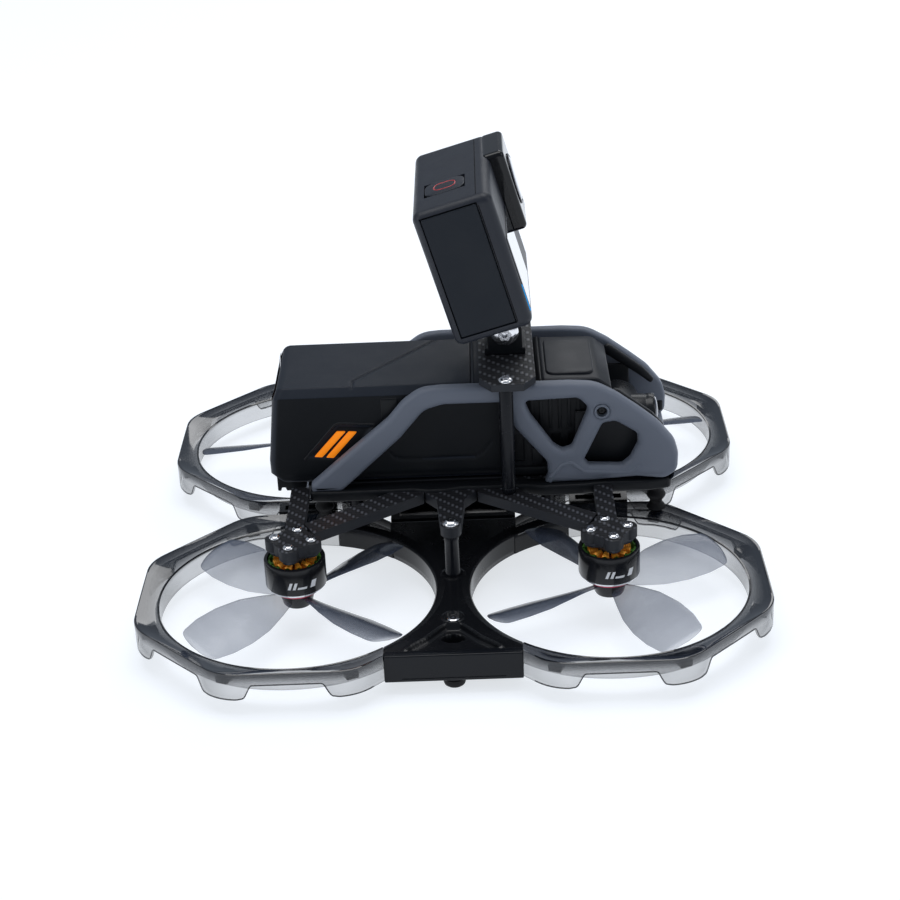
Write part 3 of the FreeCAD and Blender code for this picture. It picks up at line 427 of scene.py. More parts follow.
def plate_points(loops, low, high, edge, steps=4, low_edge=None):
    """A flat part of even thickness with rounded edges, as (u, v, level) points and faces.
    A section of two quarter rounds is carried along every outline: its inset is the edge
    less its sine part, its level the edge less its cosine part.  Flats close both faces."""
    low_edge = edge if low_edge is None else low_edge
    quarter = np.linspace(0, math.pi / 2, steps)
    inset = np.concatenate([low_edge * (1 - np.sin(quarter)), edge * (1 - np.sin(quarter))[::-1]])
    level = np.concatenate([low + low_edge * (1 - np.cos(quarter)),
                            high - edge * (1 - np.cos(quarter))[::-1]])
    shell, rims = Shell(), ([], [])
    for index, loop in enumerate(loops):
        following = np.roll(loop, -1, 0)
        area = (loop[:, 0] * following[:, 1] - following[:, 0] * loop[:, 1]).sum()
        if (area > 0) != (index == 0):
            loop = loop[::-1]
        along = np.roll(loop, -1, 0) - np.roll(loop, 1, 0)
        along /= np.maximum(np.linalg.norm(along, axis=1), 1e-9)[:, None]
        inward = np.stack([-along[:, 1], along[:, 0]], -1)
        flat = loop[:, None] + inward[:, None] * inset[None, :, None]
        points = np.concatenate([flat, np.broadcast_to(level[None, :, None], (*flat.shape[:2], 1))], -1)
        shell.add(points, grid_faces(len(loop), len(inset), ring_rows=True))
        rims[0].append(points[:, 0])
        rims[1].append(points[:, -1])
    for rim in rims:
        faces = tessellate_polygon([[Vector(p) for p in loop] for loop in rim])
        shell.add(np.concatenate(rim), np.array(faces))
    return np.concatenate(shell.points), shell.faces


def lathe(profile, x=0.0, y=0.0, steps=48):
    """A profile of (radius, height) pairs carried round an upright axis."""
    radius, height = (np.array(column, float)[:, None] for column in zip(*profile))
    angle = np.linspace(0, 2 * math.pi, steps, endpoint=False)[None, :]
    points = np.stack([x + radius * np.cos(angle), y + radius * np.sin(angle), height + 0 * angle], -1)
    return points, grid_faces(len(profile), steps, ring_columns=True)


def line_distance(x, y, path):
    """Distance of every point to a broken line: the least over its stretches."""
    spots = np.array(path, float)
    start, run = spots[:-1], spots[1:] - spots[:-1]
    dx, dy = x[..., None] - start[:, 0], y[..., None] - start[:, 1]
    share = np.clip((dx * run[:, 0] + dy * run[:, 1]) / (run ** 2).sum(1), 0, 1)
    return np.sqrt((dx - share * run[:, 0]) ** 2 + (dy - share * run[:, 1]) ** 2).min(-1)


RECESS_RIDGE = [(-14.6, -94.4), (-13.2, -92.8), (-8.4, -88.2), (-4.2, -82.6), (-2.4, -80.6), (0, -79.8),
                (2.4, -80.6), (4.2, -82.6), (8.4, -88.2), (13.2, -92.8), (14.6, -94.4)]


def bridge_top(x, y):
    """Height of the bridge's top: the ducts' slope carries on from each lip, less the
    triangle sunk below a raised ridge, a deep oval hole, and the screw's cup and collar."""
    from_ring = np.hypot(RING_X - np.abs(x), np.abs(y) - RING_Y)
    z = 12.5 + np.clip((from_ring - LIP) / 3.0, 0, 1) ** 0.8 * 1.2
    z -= 0.5 * (1 - np.clip((from_ring - LIP) / 0.9, 0, 1)) ** 2
    y_out = -np.abs(y)
    ridge_x = np.array([abs(p[0]) for p in RECESS_RIDGE[5:]])
    ridge_y = np.array([-p[1] for p in RECESS_RIDGE[5:]])
    inner_half = np.interp(-y_out, ridge_y, ridge_x)
    sunk = smooth(-0.3, 1.0, inner_half - np.abs(x)) * smooth(80.2, 81.4, -y_out) * smooth(-94.9, -94.3,
                                                                                           y_out)
    z -= 1.7 * sunk
    z += 0.7 * np.exp(-(line_distance(x, y_out, RECESS_RIDGE) / 0.6) ** 2)
    hole = np.hypot(x / 1.5, y_out + 86.0)
    z -= 4.5 * (1 - smooth(1.9, 2.5, hole))
    screw = np.hypot(x, y_out + 75.9)
    z += 0.35 * np.exp(-((screw - 3.1) / 0.5) ** 2) - 0.9 * (1 - smooth(2.4, 2.8, screw))
    post = np.hypot(x, y_out + 49.0)
    z += 0.3 * (1 - smooth(3.4, 4.4, post))
    return z - 0.9 * (1 - smooth(BRIDGE_START, BRIDGE_START + 1.2, -y_out))


def side_bridge(turned_round):
    """The waisted part: rows step outward, and each row runs up one duct's wall, across
    the top between the two round openings, and down the other wall."""
    rows = np.concatenate([np.linspace(BRIDGE_START, 77, 110), np.linspace(77.3, 96.9, 78),
                           [97.2, 97.5]])[:, None]
    reach = np.maximum(LIP ** 2 - (rows - RING_Y) ** 2, 0)
    half = np.minimum(BRIDGE_HALF, RING_X - np.sqrt(reach))
    across = np.linspace(-1, 1, 109)[None, :]
    across = np.sign(across) * (1 - (1 - np.abs(across)) ** 1.25)
    x = across * half
    y = -rows + 0 * x
    z = bridge_top(x, y)
    wall_levels = np.array([5.2, 7.0, 9.0, 11.0, 11.7])
    wall = np.ones((len(rows), 1)) * wall_levels
    x = np.concatenate([-half + 0 * wall, x, half + 0 * wall], 1)
    z = np.concatenate([wall, z, wall[:, ::-1]], 1)
    y = np.concatenate([-rows + 0 * wall, y, -rows + 0 * wall], 1)
    points = np.stack([x, y, z], -1)
    shell = Shell().add(points, grid_faces(*points.shape[:2]))
    bar, bar_faces = plate_points(
        [soft_loop([(-BRIDGE_HALF, 4.5), (BRIDGE_HALF, 4.5), (BRIDGE_HALF, 13.9), (-BRIDGE_HALF, 13.9)],
                   0.5)],
        95.2, BRIDGE_FACE, 0.45)
    outer_bar = Shell().add(np.stack([bar[:, 0], -bar[:, 2], bar[:, 1]], -1), bar_faces)
    outer_bar.add(*rounded_block((-16, -98.65, 5.3), (16, -97.9, 5.75), 0.15))
    if turned_round:
        for made in (shell, outer_bar):
            made.points = [points * np.array([-1, -1, 1]) for points in made.points]
    return shell, outer_bar


BRIDGE_BLACK = moulded("bridge_black", (0.005, 0.0055, 0.007), rough=0.24, drift=0.25, grain=4.0, depth=0.02,
                       Specular_IOR_Level=0.25, Coat_Weight=0.12, Coat_Roughness=0.05)
BAR_BLACK = moulded("bar_black", (0.0055, 0.0065, 0.009), rough=0.22, drift=0.3, grain=6.0, depth=0.02,
                    Specular_IOR_Level=0.22)
SOFT_RUBBER = moulded("soft_rubber", (0.010, 0.010, 0.011), rough=0.6, drift=0.25, grain=0.25, depth=0.03,
                      Specular_IOR_Level=0.2)


def paint_node(material, *nodes):
    """Puts a finish on CAD nodes that keep their own mesh."""
    for node in nodes:
        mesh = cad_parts[node].data
        mesh.materials.clear()
        mesh.materials.append(material)


def thicken(piece, thickness):
    """Gives an open moulding its wall, inward from the shown face."""
    wall = piece.modifiers.new("wall", "SOLIDIFY")
    wall.thickness = thickness * MM
    wall.offset = -1


for side, turned_round in (("right", False), ("left", True)):
    waist, outer_bar = side_bridge(turned_round)
    thicken(finish_piece(f"waisted_bridge_{side}", waist, BRIDGE_BLACK, "airframe",
                         [f"side_bridge_{side}"], sharp=50), 0.8)
    finish_piece(f"bridge_bar_{side}", outer_bar, BAR_BLACK, "airframe")
wings = Shell()
wing_outline = [(44.75, 5.2), (44.75, 12.1), (45.2, 12.75), (46.0, 12.95), (47.4, 13.4), (47.4, 12.4),
                (45.4, 11.4),
                (45.3, 5.2)]
for side_x, side_y in CORNERS.values():
    reach, level = (np.array(column)[None, :] for column in zip(*wing_outline))
    sweep = np.radians(np.linspace(48.5, 76.0, 30))[:, None]
    reach = 44.95 + (reach - 44.95) * smooth(76.0, 73.5, np.degrees(sweep))
    points = np.stack([(RING_X - reach * np.cos(sweep)) * side_x, (RING_Y - reach * np.sin(sweep)) * side_y,
                       level + 0 * sweep], -1)
    wings.add(points, grid_faces(30, len(wing_outline), ring_columns=True))
finish_piece("hub_wings", wings, BRIDGE_BLACK, "airframe", sharp=45)
paint_node(BRIDGE_BLACK, "duct_hub", "end_bridge_front", "end_bridge_rear")

feet = Shell()
for foot_x, foot_y, foot_top in ((0, 92.8, 4.6), (0, -92.8, 4.6), (RING_X, 0, 5.3), (-RING_X, 0, 5.3)):
    feet.add(*lathe([(0, 0), (2.3, 0), (2.8, 0.12), (3.25, 0.5), (3.45, 1.0), (3.5, 1.6), (3.5, 2.6),
                     (3.2, 2.9), (3.2, 3.2), (3.5, 3.5), (3.5, foot_top), (0, foot_top)], foot_x, foot_y))
finish_piece("rubber_feet", feet, SOFT_RUBBER, "airframe", ["landing_feet"])

# ------------------------------------------------------------------ main plate
# A cut and edge-milled carbon plate with four slanted arms, straight legs and lobed pads
# for the motors, held by bright button-head screws.

PLATE_TOP = 32.5


def math_chain(tree):
    """Short names for the Math nodes of one tree."""
    return lambda operation, *values, clamp=False: sums(tree, operation, *values, clamp=clamp)


def weave_group():
    """Twill-woven carbon: the plane is cut into tows; each runs on top for two cells of four,
    one cell further on than its neighbour, and that float is crowned along and across.
    The crowns are painted lighter toward the Light tone: a painted sheen on each float."""
    group, given, result = new_group(
        "twill", {"Place": ("Vector", None), "Tow": ("Float", 1.4),
                  "Dark": ("Color", (0.004, 0.004, 0.005, 1)),
                  "Light": ("Color", (0.05, 0.052, 0.06, 1))},
        {"Color": "Color", "Roughness": "Float", "Height": "Float"})
    calc = math_chain(group)
    split = wire(group, "ShaderNodeSeparateXYZ", {0: given.outputs["Place"]})
    rate = calc("DIVIDE", 1000.0, given.outputs["Tow"])
    across, along = (calc("MULTIPLY", split.outputs[axis], rate) for axis in ("X", "Y"))
    on_float = calc("SINE", calc("MULTIPLY", calc("ADD", calc("FLOOR", across), along), math.pi / 2))
    crown_x = calc("SINE", calc("MULTIPLY", calc("FRACT", across), math.pi))
    crown_y = calc("SINE", calc("MULTIPLY", calc("FRACT", along), math.pi))
    crown = calc("MULTIPLY", crown_x, on_float, clamp=True)
    low_crown = calc("MULTIPLY", crown_y, calc("MULTIPLY", on_float, -0.22), clamp=True)
    strand = wire(group, "ShaderNodeTexNoise", {"Vector": given.outputs["Place"], "Scale": 5000.0}).outputs[0]
    # The colour follows each float's crown: a painted sheen, lighter where the float is crowned.
    lit = calc("ADD", calc("POWER", crown, 1.3), low_crown)
    lit = calc("MULTIPLY", lit, calc("MULTIPLY_ADD", strand, 0.6, 0.7), clamp=True)
    tone = wire(group, "ShaderNodeMix", {0: lit, 6: given.outputs["Dark"], 7: given.outputs["Light"]},
                data_type="RGBA").outputs[2]
    rough = calc("MULTIPLY_ADD", crown, -0.18, 0.46)
    for label, value in (("Color", tone), ("Roughness", rough), ("Height", crown)):
        group.links.new(value, result.inputs[label])
    return group


TWILL = weave_group()


def woven(name, tow, turn=0.0, light=(0.055, 0.057, 0.066), edge=(0.020, 0.022, 0.027)):
    """Carbon sheet: weave on its faces, its crowns carrying a painted sheen, plain milled grey on its edges.
    """
    material, tree, shader = new_material(name, Specular_IOR_Level=0.25)
    place = wire(tree, "ShaderNodeTexCoord").outputs["Object"]
    place = wire(tree, "ShaderNodeMapping", {"Vector": place, "Rotation": (0, 0, turn)}).outputs[0]
    cloth = wire(tree, "ShaderNodeGroup", node_tree=TWILL)
    tree.links.new(place, cloth.inputs["Place"])
    cloth.inputs["Tow"].default_value = tow
    cloth.inputs["Light"].default_value = (*light, 1)
    facing = wire(tree, "ShaderNodeSeparateXYZ", {0: wire(tree, "ShaderNodeNewGeometry").outputs["Normal"]})
    upright = sums(tree, "ABSOLUTE", facing.outputs["Z"])
    is_face = wire(tree, "ShaderNodeMapRange",
                   {"Value": upright, "From Min": 0.86, "From Max": 0.96}).outputs[0]
    streak = wire(tree, "ShaderNodeMapping", {"Vector": place, "Scale": (1, 1, 14)}).outputs[0]
    layers = wire(tree, "ShaderNodeTexNoise", {"Vector": streak, "Scale": 260.0, "Detail": 3.0}).outputs[0]
    layers = sums(tree, "MULTIPLY_ADD", layers, 0.8, 0.6)
    milled = wire(tree, "ShaderNodeVectorMath", {0: edge, "Scale": layers}, operation="SCALE").outputs[0]
    tone = wire(tree, "ShaderNodeMix", {0: is_face, 6: milled, 7: cloth.outputs["Color"]},
                data_type="RGBA").outputs[2]
    rough = wire(tree, "ShaderNodeMix", {0: is_face, 2: 0.42, 3: cloth.outputs["Roughness"]},
                 data_type="FLOAT").outputs[0]
    lift = sums(tree, "MULTIPLY", cloth.outputs["Height"], is_face)
    bump = wire(tree, "ShaderNodeBump", {"Height": lift, "Distance": 0.12 * MM, "Strength": 0.7}).outputs[0]
    for label, value in (("Base Color", tone), ("Roughness", rough), ("Normal", bump)):
        tree.links.new(value, shader.inputs[label])
    return material


CARBON = woven("carbon_plate", 1.35, light=(0.085, 0.09, 0.105))


def softened_copy(name, nodes, material, body, edge, segments=2, angle=35):
    """A merged copy of machined CAD parts, its flats made whole, with every hard edge milled."""
    work = bmesh.new()
    for node in nodes:
        work.from_mesh(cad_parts[node].data)
    bmesh.ops.remove_doubles(work, verts=work.verts, dist=3e-6)
    bmesh.ops.dissolve_limit(work, angle_limit=math.radians(1.5), verts=work.verts, edges=work.edges)
    mesh = bpy.data.meshes.new(name)
    work.to_mesh(mesh)
    work.free()
    mesh.materials.clear()
    mesh.materials.append(material)
    mesh.shade_smooth()
    mesh.set_sharp_from_angle(angle=math.radians(30))
    piece = bpy.data.objects.new(name, mesh)
    scene.collection.objects.link(piece)
    milled = piece.modifiers.new("milled_edge", "BEVEL")
    milled.width = edge * MM
    milled.segments = segments
    milled.limit_method = "ANGLE"
    milled.angle_limit = math.radians(angle)
    milled.harden_normals = True
    milled.use_clamp_overlap = True
    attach(piece, body)
    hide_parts(*nodes)
    return piece


softened_copy("carbon_main_plate", ["main_plate"], CARBON, "airframe", 1.15, segments=2)


def screw_head(x, y, seat, radius, rise, socket=0.55, lobes=6):
    """A button head: a quarter-ellipse dome over a short skirt, with a lobed socket sunk in
    its top.  The socket's radius swings with the angle; its floor is a shallow cone."""
    steps = 36
    angle = np.linspace(0, 2 * math.pi, steps, endpoint=False)[None, :]
    dome = np.linspace(0, math.pi / 2 * 0.86, 7)
    skirt = 0.18 * rise
    radii = np.concatenate([[radius * 0.96, radius], radius * np.cos(dome)])[:, None] + 0 * angle
    levels = np.concatenate([[0, skirt * 0.4], skirt + (rise - skirt) * np.sin(dome)])[:, None] + 0 * angle
    mouth = radius * socket * (1 + 0.10 * np.cos(lobes * angle))
    top = levels[-1:, :]
    inner = [(mouth * 1.06, top + 0.01 * rise), (mouth, top - 0.06 * rise), (mouth * 0.94, top - 0.6 * rise),
             (mouth * 0.5, top - 0.7 * rise), (mouth * 0, top - 0.72 * rise)]
    radii = np.concatenate([np.zeros((1, steps)), radii] + [r for r, _ in inner])
    levels = np.concatenate([np.zeros((1, steps)), levels] + [level for _, level in inner])
    points = np.stack([x + radii * np.cos(angle), y + radii * np.sin(angle), seat + levels], -1)
    return points, grid_faces(*points.shape[:2], ring_columns=True)


def bright_metal(name, tone, rough, metallic=1.0, **settings):
    """Plated metal with a little cloudiness."""
    material, tree, shader = new_material(name, Metallic=metallic, **settings)
    place = wire(tree, "ShaderNodeTexCoord").outputs["Object"]
    cloud = wire(tree, "ShaderNodeTexNoise", {"Vector": place, "Scale": 700.0, "Detail": 3.0}).outputs[0]
    shade = sums(tree, "MULTIPLY_ADD", cloud, 0.14, 0.93)
    colour = wire(tree, "ShaderNodeVectorMath", {0: tone, "Scale": shade}, operation="SCALE").outputs[0]
    tree.links.new(colour, shader.inputs["Base Color"])
    tree.links.new(sums(tree, "MULTIPLY_ADD", cloud, 0.08, rough - 0.04, clamp=True),
                   shader.inputs["Roughness"])
    return material


PLATED = bright_metal("plated_screw", (0.80, 0.80, 0.82), 0.17)
motor_heads = Shell()
for side_x, side_y in CORNERS.values():
    for step in range(4):
        angle = math.radians(10 * side_x * -side_y + 90 * step)
        motor_heads.add(*screw_head(RING_X * side_x + 6 * math.cos(angle),
                                    RING_Y * side_y + 6 * math.sin(angle),
                                    PLATE_TOP, 1.75, 1.2))
finish_piece("motor_screw_heads", motor_heads, PLATED, "airframe", ["motor_screws"], sharp=40)
frame_heads = Shell()
for sign in (1, -1):
    frame_heads.add(*screw_head(0, 49.0 * sign, PLATE_TOP, 2.75, 1.65))
    frame_heads.add(*screw_head(19.4, 28.6 * sign, 72.9, 2.35, 1.45))
    frame_heads.add(*screw_head(0, 75.9 * sign, 12.65, 2.2, 1.0))
finish_piece("frame_screw_heads", frame_heads, PLATED, "airframe", ["frame_screws"], sharp=40)

# ------------------------------------------------------------------ posts, rubbers and board
# Turned black posts stand on the bridges, rubber bellows take the plate's ends, and a
# power board hangs under the plate on spacers.

ANODISED = bright_metal("black_anodised", (0.007, 0.008, 0.011), 0.26, metallic=0.1,
                        Specular_IOR_Level=0.2)
posts = Shell()
for sign in (1, -1):
    posts.add(*lathe([(0, 13.6), (2.4, 13.6), (2.5, 13.9), (2.5, 15.2), (2.35, 15.6), (2.35, 26.6),
                      (2.5, 27.0), (2.5, 28.7), (2.4, 28.9), (0, 28.9)], 0, 49.0 * sign))
finish_piece("plate_posts", posts, ANODISED, "airframe", ["centre_posts"])
paint_node(ANODISED, "lower_posts", "board_spacers", "cage_screws")

bellows = Shell()
turns = np.linspace(0, 1, 49)
for damper_x in (70.0, -44.0):
    for sign in (1, -1):
        profile = [(0, 14.1)] + [(3.3 - 1.2 * math.sin(3 * math.pi * t) ** 2, 14.1 + 14.8 * t) for t in turns]
        bellows.add(*lathe(profile + [(0, 28.9)], damper_x, 8.0 * sign, 40))
finish_piece("rubber_bellows", bellows, SOFT_RUBBER, "airframe", ["dampers"], sharp=60)

BOARD = moulded("solder_mask", (0.006, 0.020, 0.016), rough=0.3, drift=0.8, grain=1.6, depth=0.08,
                Coat_Weight=0.3)
softened_copy("speed_board", ["power_board"], BOARD, "airframe", 0.15)
chips = Shell()
for chip_x, chip_y, half_x, half_y in ((-9, 3.4, 3, 2.6), (-1, 3.4, 2.6, 2.6), (8, 3.2, 3.4, 2.4),
                                       (-9, -3.6, 3, 2.4),
                                       (0, -3.6, 3.6, 2.2), (9, -3.6, 2.6, 2.6)):
    chips.add(*rounded_block((chip_x - half_x, chip_y - half_y, 23.3),
                             (chip_x + half_x, chip_y + half_y, 24.4), 0.12))
finish_piece("board_chips", chips, moulded("chip_black", (0.008, 0.008, 0.009), 0.45), "airframe")

# ------------------------------------------------------------------ motors
# Inverted outrunners: a black turned bell with a bright chamfer and a red collar, open at
# the top over twelve wound teeth, on a four-lobed base screwed under the plate's pad.

BELL_BLACK = bright_metal("bell_black", (0.006, 0.0065, 0.0085), 0.18, metallic=0.15, Specular_IOR_Level=0.35)
BELL_BRIGHT = bright_metal("bell_bright", (0.72, 0.73, 0.76), 0.2)
COLLAR_RED = bright_metal("collar_red", (0.50, 0.008, 0.06), 0.3, metallic=0.1)
BASE_GREY = bright_metal("base_grey", (0.045, 0.052, 0.065), 0.34, metallic=0.5)
MARK_WHITE = moulded("mark_white", (0.75, 0.76, 0.78), rough=0.5, drift=0.3, grain=0.15)
ENAMEL = bright_metal("copper_enamel", (1.0, 0.40, 0.04), 0.28, metallic=0.3)
TOOTH_GREEN = moulded("tooth_coat", (0.05, 0.17, 0.02), rough=0.4, drift=0.5, grain=0.3)

BELL = 9.9


def wound_tooth(bearing, x, y):
    """One winding: a squared helix about the tooth's radial axis that climbs outward."""
    turns, per = 5, 12
    t = np.linspace(0, turns, turns * per + 1)
    loop = t * 2 * math.pi
    width = 0.95 * np.sign(np.cos(loop)) * np.abs(np.cos(loop)) ** 0.5 * (0.75 + 0.5 * t / turns)
    rise = 21.75 + 4.1 * np.sign(np.sin(loop)) * np.abs(np.sin(loop)) ** 0.5
    out = 4.0 + 3.1 * t / turns
    c, s = math.cos(bearing), math.sin(bearing)
    path = np.stack([x + out * c - width * s, y + out * s + width * c, rise], -1)
    return tube(path, 0.34)


def lobed(radius, swing, phase, steps=72):
    """An outline whose radius swings four times round, widest at the screws."""
    angle = np.linspace(0, 2 * math.pi, steps, endpoint=False)
    reach = radius + swing * np.cos(4 * (angle - phase))
    return np.stack([reach * np.cos(angle), reach * np.sin(angle)], -1)


def bell_patch(x, y, bearing, half_width, low, high, slant):
    """A printed bar: a thin sheet at the bell's radius, between two angles that shift with height."""
    t = np.linspace(-1, 1, 7)[None, :]
    level = np.linspace(low, high, 3)[:, None]
    angle = bearing + (t * half_width + slant * (level - low)) / BELL
    reach = BELL + 0.05
    points = np.stack([x + reach * np.cos(angle), y + reach * np.sin(angle), level + 0 * t], -1)
    inner = np.stack([x + (BELL - 0.1) * np.cos(angle), y + (BELL - 0.1) * np.sin(angle), level + 0 * t], -1)
    both = np.concatenate([points, inner[::-1]])
    return both, grid_faces(6, 7, ring_rows=True)


for corner, (side_x, side_y) in CORNERS.items():
    x, y = RING_X * side_x, RING_Y * side_y
    phase = math.radians(10 * side_x * -side_y)
    rotor = f"rotor_{corner}"

    can = Shell().add(*lathe([(0, 15.6), (8.0, 15.6), (8.6, 15.8), (9.35, 16.6), (9.75, 17.0), (9.9, 17.3),
                              (9.9, 25.9), (9.75, 26.25), (9.4, 26.3), (8.85, 26.3), (8.7, 26.1), (8.7, 17.2),
                              (1.2, 17.0), (1.0, 17.2), (1.0, 27.5), (0, 27.6)], x, y, 96))
    finish_piece(f"bell_can_{corner}", can, BELL_BLACK, rotor, [f"motor_bell_{corner}"])
    chamfer = Shell().add(*lathe([(8.9, 16.0), (9.15, 16.05), (9.66, 16.6), (9.72, 16.9), (9.5, 16.95),
                                  (9.0, 16.5), (8.9, 16.0)], x, y, 96))
    finish_piece(f"bell_chamfer_{corner}", chamfer, BELL_BRIGHT, rotor)
    collar = Shell().add(*lathe([(0, 14.5), (6.9, 14.5), (7.5, 14.7), (7.7, 15.1), (7.7, 15.65), (0, 15.7)],
                                x, y, 72))
    finish_piece(f"bell_collar_{corner}", collar, COLLAR_RED, rotor)
    marks = Shell()
    front = math.radians(-72) if side_y < 0 else math.radians(108)
    for offset, half_width, low, high, slant in ((-4.6, 0.45, 19.4, 21.8, 0.35),
                                                 (-3.0, 0.45, 19.4, 21.8, 0.35),
                                                 (-0.4, 1.5, 19.4, 20.1, 0.35), (3.2, 0.9, 19.4, 21.8, 0.35)):
        marks.add(*bell_patch(x, y, front + offset / BELL, half_width, low, high, slant))
    finish_piece(f"bell_marks_{corner}", marks, MARK_WHITE, rotor)

    wound = Shell()
    teeth = Shell()
    for step in range(12):
        bearing = math.radians(30 * step + 15)
        wound.add(*wound_tooth(bearing, x, y))
        teeth.add(*rounded_block((7.75, -1.75, 18.2), (8.45, 1.75, 25.7), 0.15, bearing, (x, y)))
        teeth.add(*rounded_block((3.0, -0.5, 18.6), (8.0, 0.5, 25.2), 0.1, bearing, (x, y)))
    finish_piece(f"motor_coils_{corner}", wound, ENAMEL, "airframe", [f"windings_{corner}"],
                 sharp=60)
    finish_piece(f"motor_teeth_{corner}", teeth, TOOTH_GREEN, "airframe")

    base = Shell()
    flange, flange_faces = plate_points([lobed(6.6, 1.5, phase), circle_loop(0, 0, 1.1, 24)[::-1]],
                                        27.3, 28.95, 0.3, steps=3)
    base.add(flange + np.array([x, y, 0]), flange_faces)
    base.add(*lathe([(1.1, 17.6), (3.0, 17.6), (3.0, 24.6), (3.9, 26.0), (5.0, 27.4), (5.0, 28.2),
                     (1.1, 28.2), (1.1, 17.6)], x, y, 48))
    finish_piece(f"motor_mount_{corner}", base, BASE_GREY, "airframe",
                 [f"motor_base_{corner}"],
                 sharp=38)

# ------------------------------------------------------------------ propellers
# Four-blade propellers moulded in pale see-through plastic on a black hub, pushed on from
# below; the right-hand pairs turn against each other.

SPIN_SIGN = {"front_left": -1, "front_right": 1, "rear_left": 1, "rear_right": -1}
BLADE_START = {"front_left": 12.0, "front_right": 27.5, "rear_left": 5.0, "rear_right": 47.0}
PROP_PLANE, PROP_RADIUS = 12.0, 43.3


def blade(start, sign, x, y):
    """One blade: sections of chord, thickness and pitch carried out along the radius.  The
    section is a cambered lens, its half thickness a square root near the nose and a taper
    to the tail; its height and offset are turned by the pitch."""
    share = np.concatenate([np.linspace(0.10, 0.93, 34), np.linspace(0.94, 1.0, 14)])[:, None]
    knots = [0.10, 0.14, 0.24, 0.42, 0.62, 0.80, 0.93, 1.0]
    chord = np.interp(share, knots, [5.0, 6.2, 9.6, 15.0, 18.0, 18.0, 16.0, 13.6])
    tip = np.clip((share - 0.95) / 0.05, 0, 1)
    chord = chord * np.sqrt(np.clip(1 - tip ** 2.6 * 0.93, 0.05, 1))
    thick = np.interp(share, knots, [2.0, 1.7, 1.35, 1.1, 0.9, 0.8, 0.65, 0.4])
    pitch = np.radians(np.interp(share, knots, [33, 32, 30, 26, 21.5, 19.5, 17.5, 16]))
    per = 12
    run = np.cos(np.linspace(0, math.pi, per))
    loop = np.concatenate([run, run[::-1][1:-1]])[None, :]
    upper = np.concatenate([np.ones(per), -np.ones(per - 2)])[None, :]
    shape = np.sqrt(np.clip(1 - loop ** 2, 0, 1)) * (0.75 + 0.25 * loop)
    camber = 0.055 * chord * (1 - loop ** 2)
    along = loop * chord / 2 + 0.06 * chord
    up = camber + upper * shape * thick * 0.5
    across = sign * (along * np.cos(pitch) - up * np.sin(pitch))
    height = PROP_PLANE + along * np.sin(pitch) + up * np.cos(pitch)
    reach = share * PROP_RADIUS - 0.0035 * (along - 0.2 * chord) ** 2
    c, s = math.cos(math.radians(start)), math.sin(math.radians(start))
    points = np.stack([x + reach * c - across * s, y + reach * s + across * c, height], -1)
    shell = Shell().add(points, grid_faces(*points.shape[:2], ring_columns=True))
    for row in (0, -1):
        ring = np.arange(points.shape[1])
        fan = np.stack([ring, np.roll(ring, -1), np.full(len(ring), len(ring))], -1)
        shell.add(np.concatenate([points[row], points[row].mean(0, keepdims=True)]), fan)
    return np.concatenate(shell.points), shell.faces


def blade_finish():
    """Pale see-through blade plastic, denser where it is seen along the blade."""
    material, tree, shader = new_material("prop_plastic", Roughness=0.16, Specular_IOR_Level=0.3)
    place = wire(tree, "ShaderNodeTexCoord").outputs["Object"]
    facing = wire(tree, "ShaderNodeLayerWeight", {"Blend": 0.5}).outputs["Facing"]
    thick = sums(tree, "MULTIPLY_ADD", sums(tree, "POWER", facing, 1.6), 1.1, 0.23)
    flow = wire(tree, "ShaderNodeTexNoise", {"Vector": place, "Scale": 40.0, "Detail": 3.0}).outputs[0]
    thick = sums(tree, "MULTIPLY_ADD", sums(tree, "SUBTRACT", flow, 0.5), 0.18, thick, clamp=True)
    tree.links.new(thick, shader.inputs["Alpha"])
    tone = wire(tree, "ShaderNodeMix", {0: sums(tree, "POWER", facing, 0.7), 6: (0.21, 0.26, 0.38, 1),
                                        7: (0.012, 0.014, 0.019, 1)}, data_type="RGBA").outputs[2]
    tree.links.new(tone, shader.inputs["Base Color"])
    return material


PROP_PLASTIC = blade_finish()
HUB_BLACK = moulded("prop_hub_black", (0.010, 0.011, 0.014), rough=0.22, drift=0.3, grain=0.6,
                    Specular_IOR_Level=0.3)
for corner, (side_x, side_y) in CORNERS.items():
    x, y = RING_X * side_x, RING_Y * side_y
    blades = Shell()
    for step in range(4):
        blades.add(*blade(BLADE_START[corner] + 90 * step, SPIN_SIGN[corner], x, y))
    finish_piece(f"prop_blades_{corner}", blades, PROP_PLASTIC, f"rotor_{corner}",
                 [f"propeller_{corner}"], sharp=50)
    hub = Shell().add(*lathe([(0, 9.1), (3.9, 9.1), (4.5, 9.3), (4.8, 9.8), (5.4, 12.2), (5.8, 13.6),
                              (5.8, 14.4),
                              (5.6, 14.55), (0, 14.55)], x, y, 56))
    finish_piece(f"prop_hub_{corner}", hub, HUB_BLACK, f"rotor_{corner}")

# ------------------------------------------------------------------ cage
# A slate-grey nylon cage: two windowed side rails, moulded with full rounds, and a low
# bar across the nose.  It clamps the battery and the electronics and is screwed from the
# sides.

CAGE_SLATE = moulded("cage_slate", (0.128, 0.145, 0.182), rough=0.46, drift=0.10, grain=0.22, depth=0.02,
                     Specular_IOR_Level=0.3)
CAGE_INNER, CAGE_OUTER = 20.9, 25.3

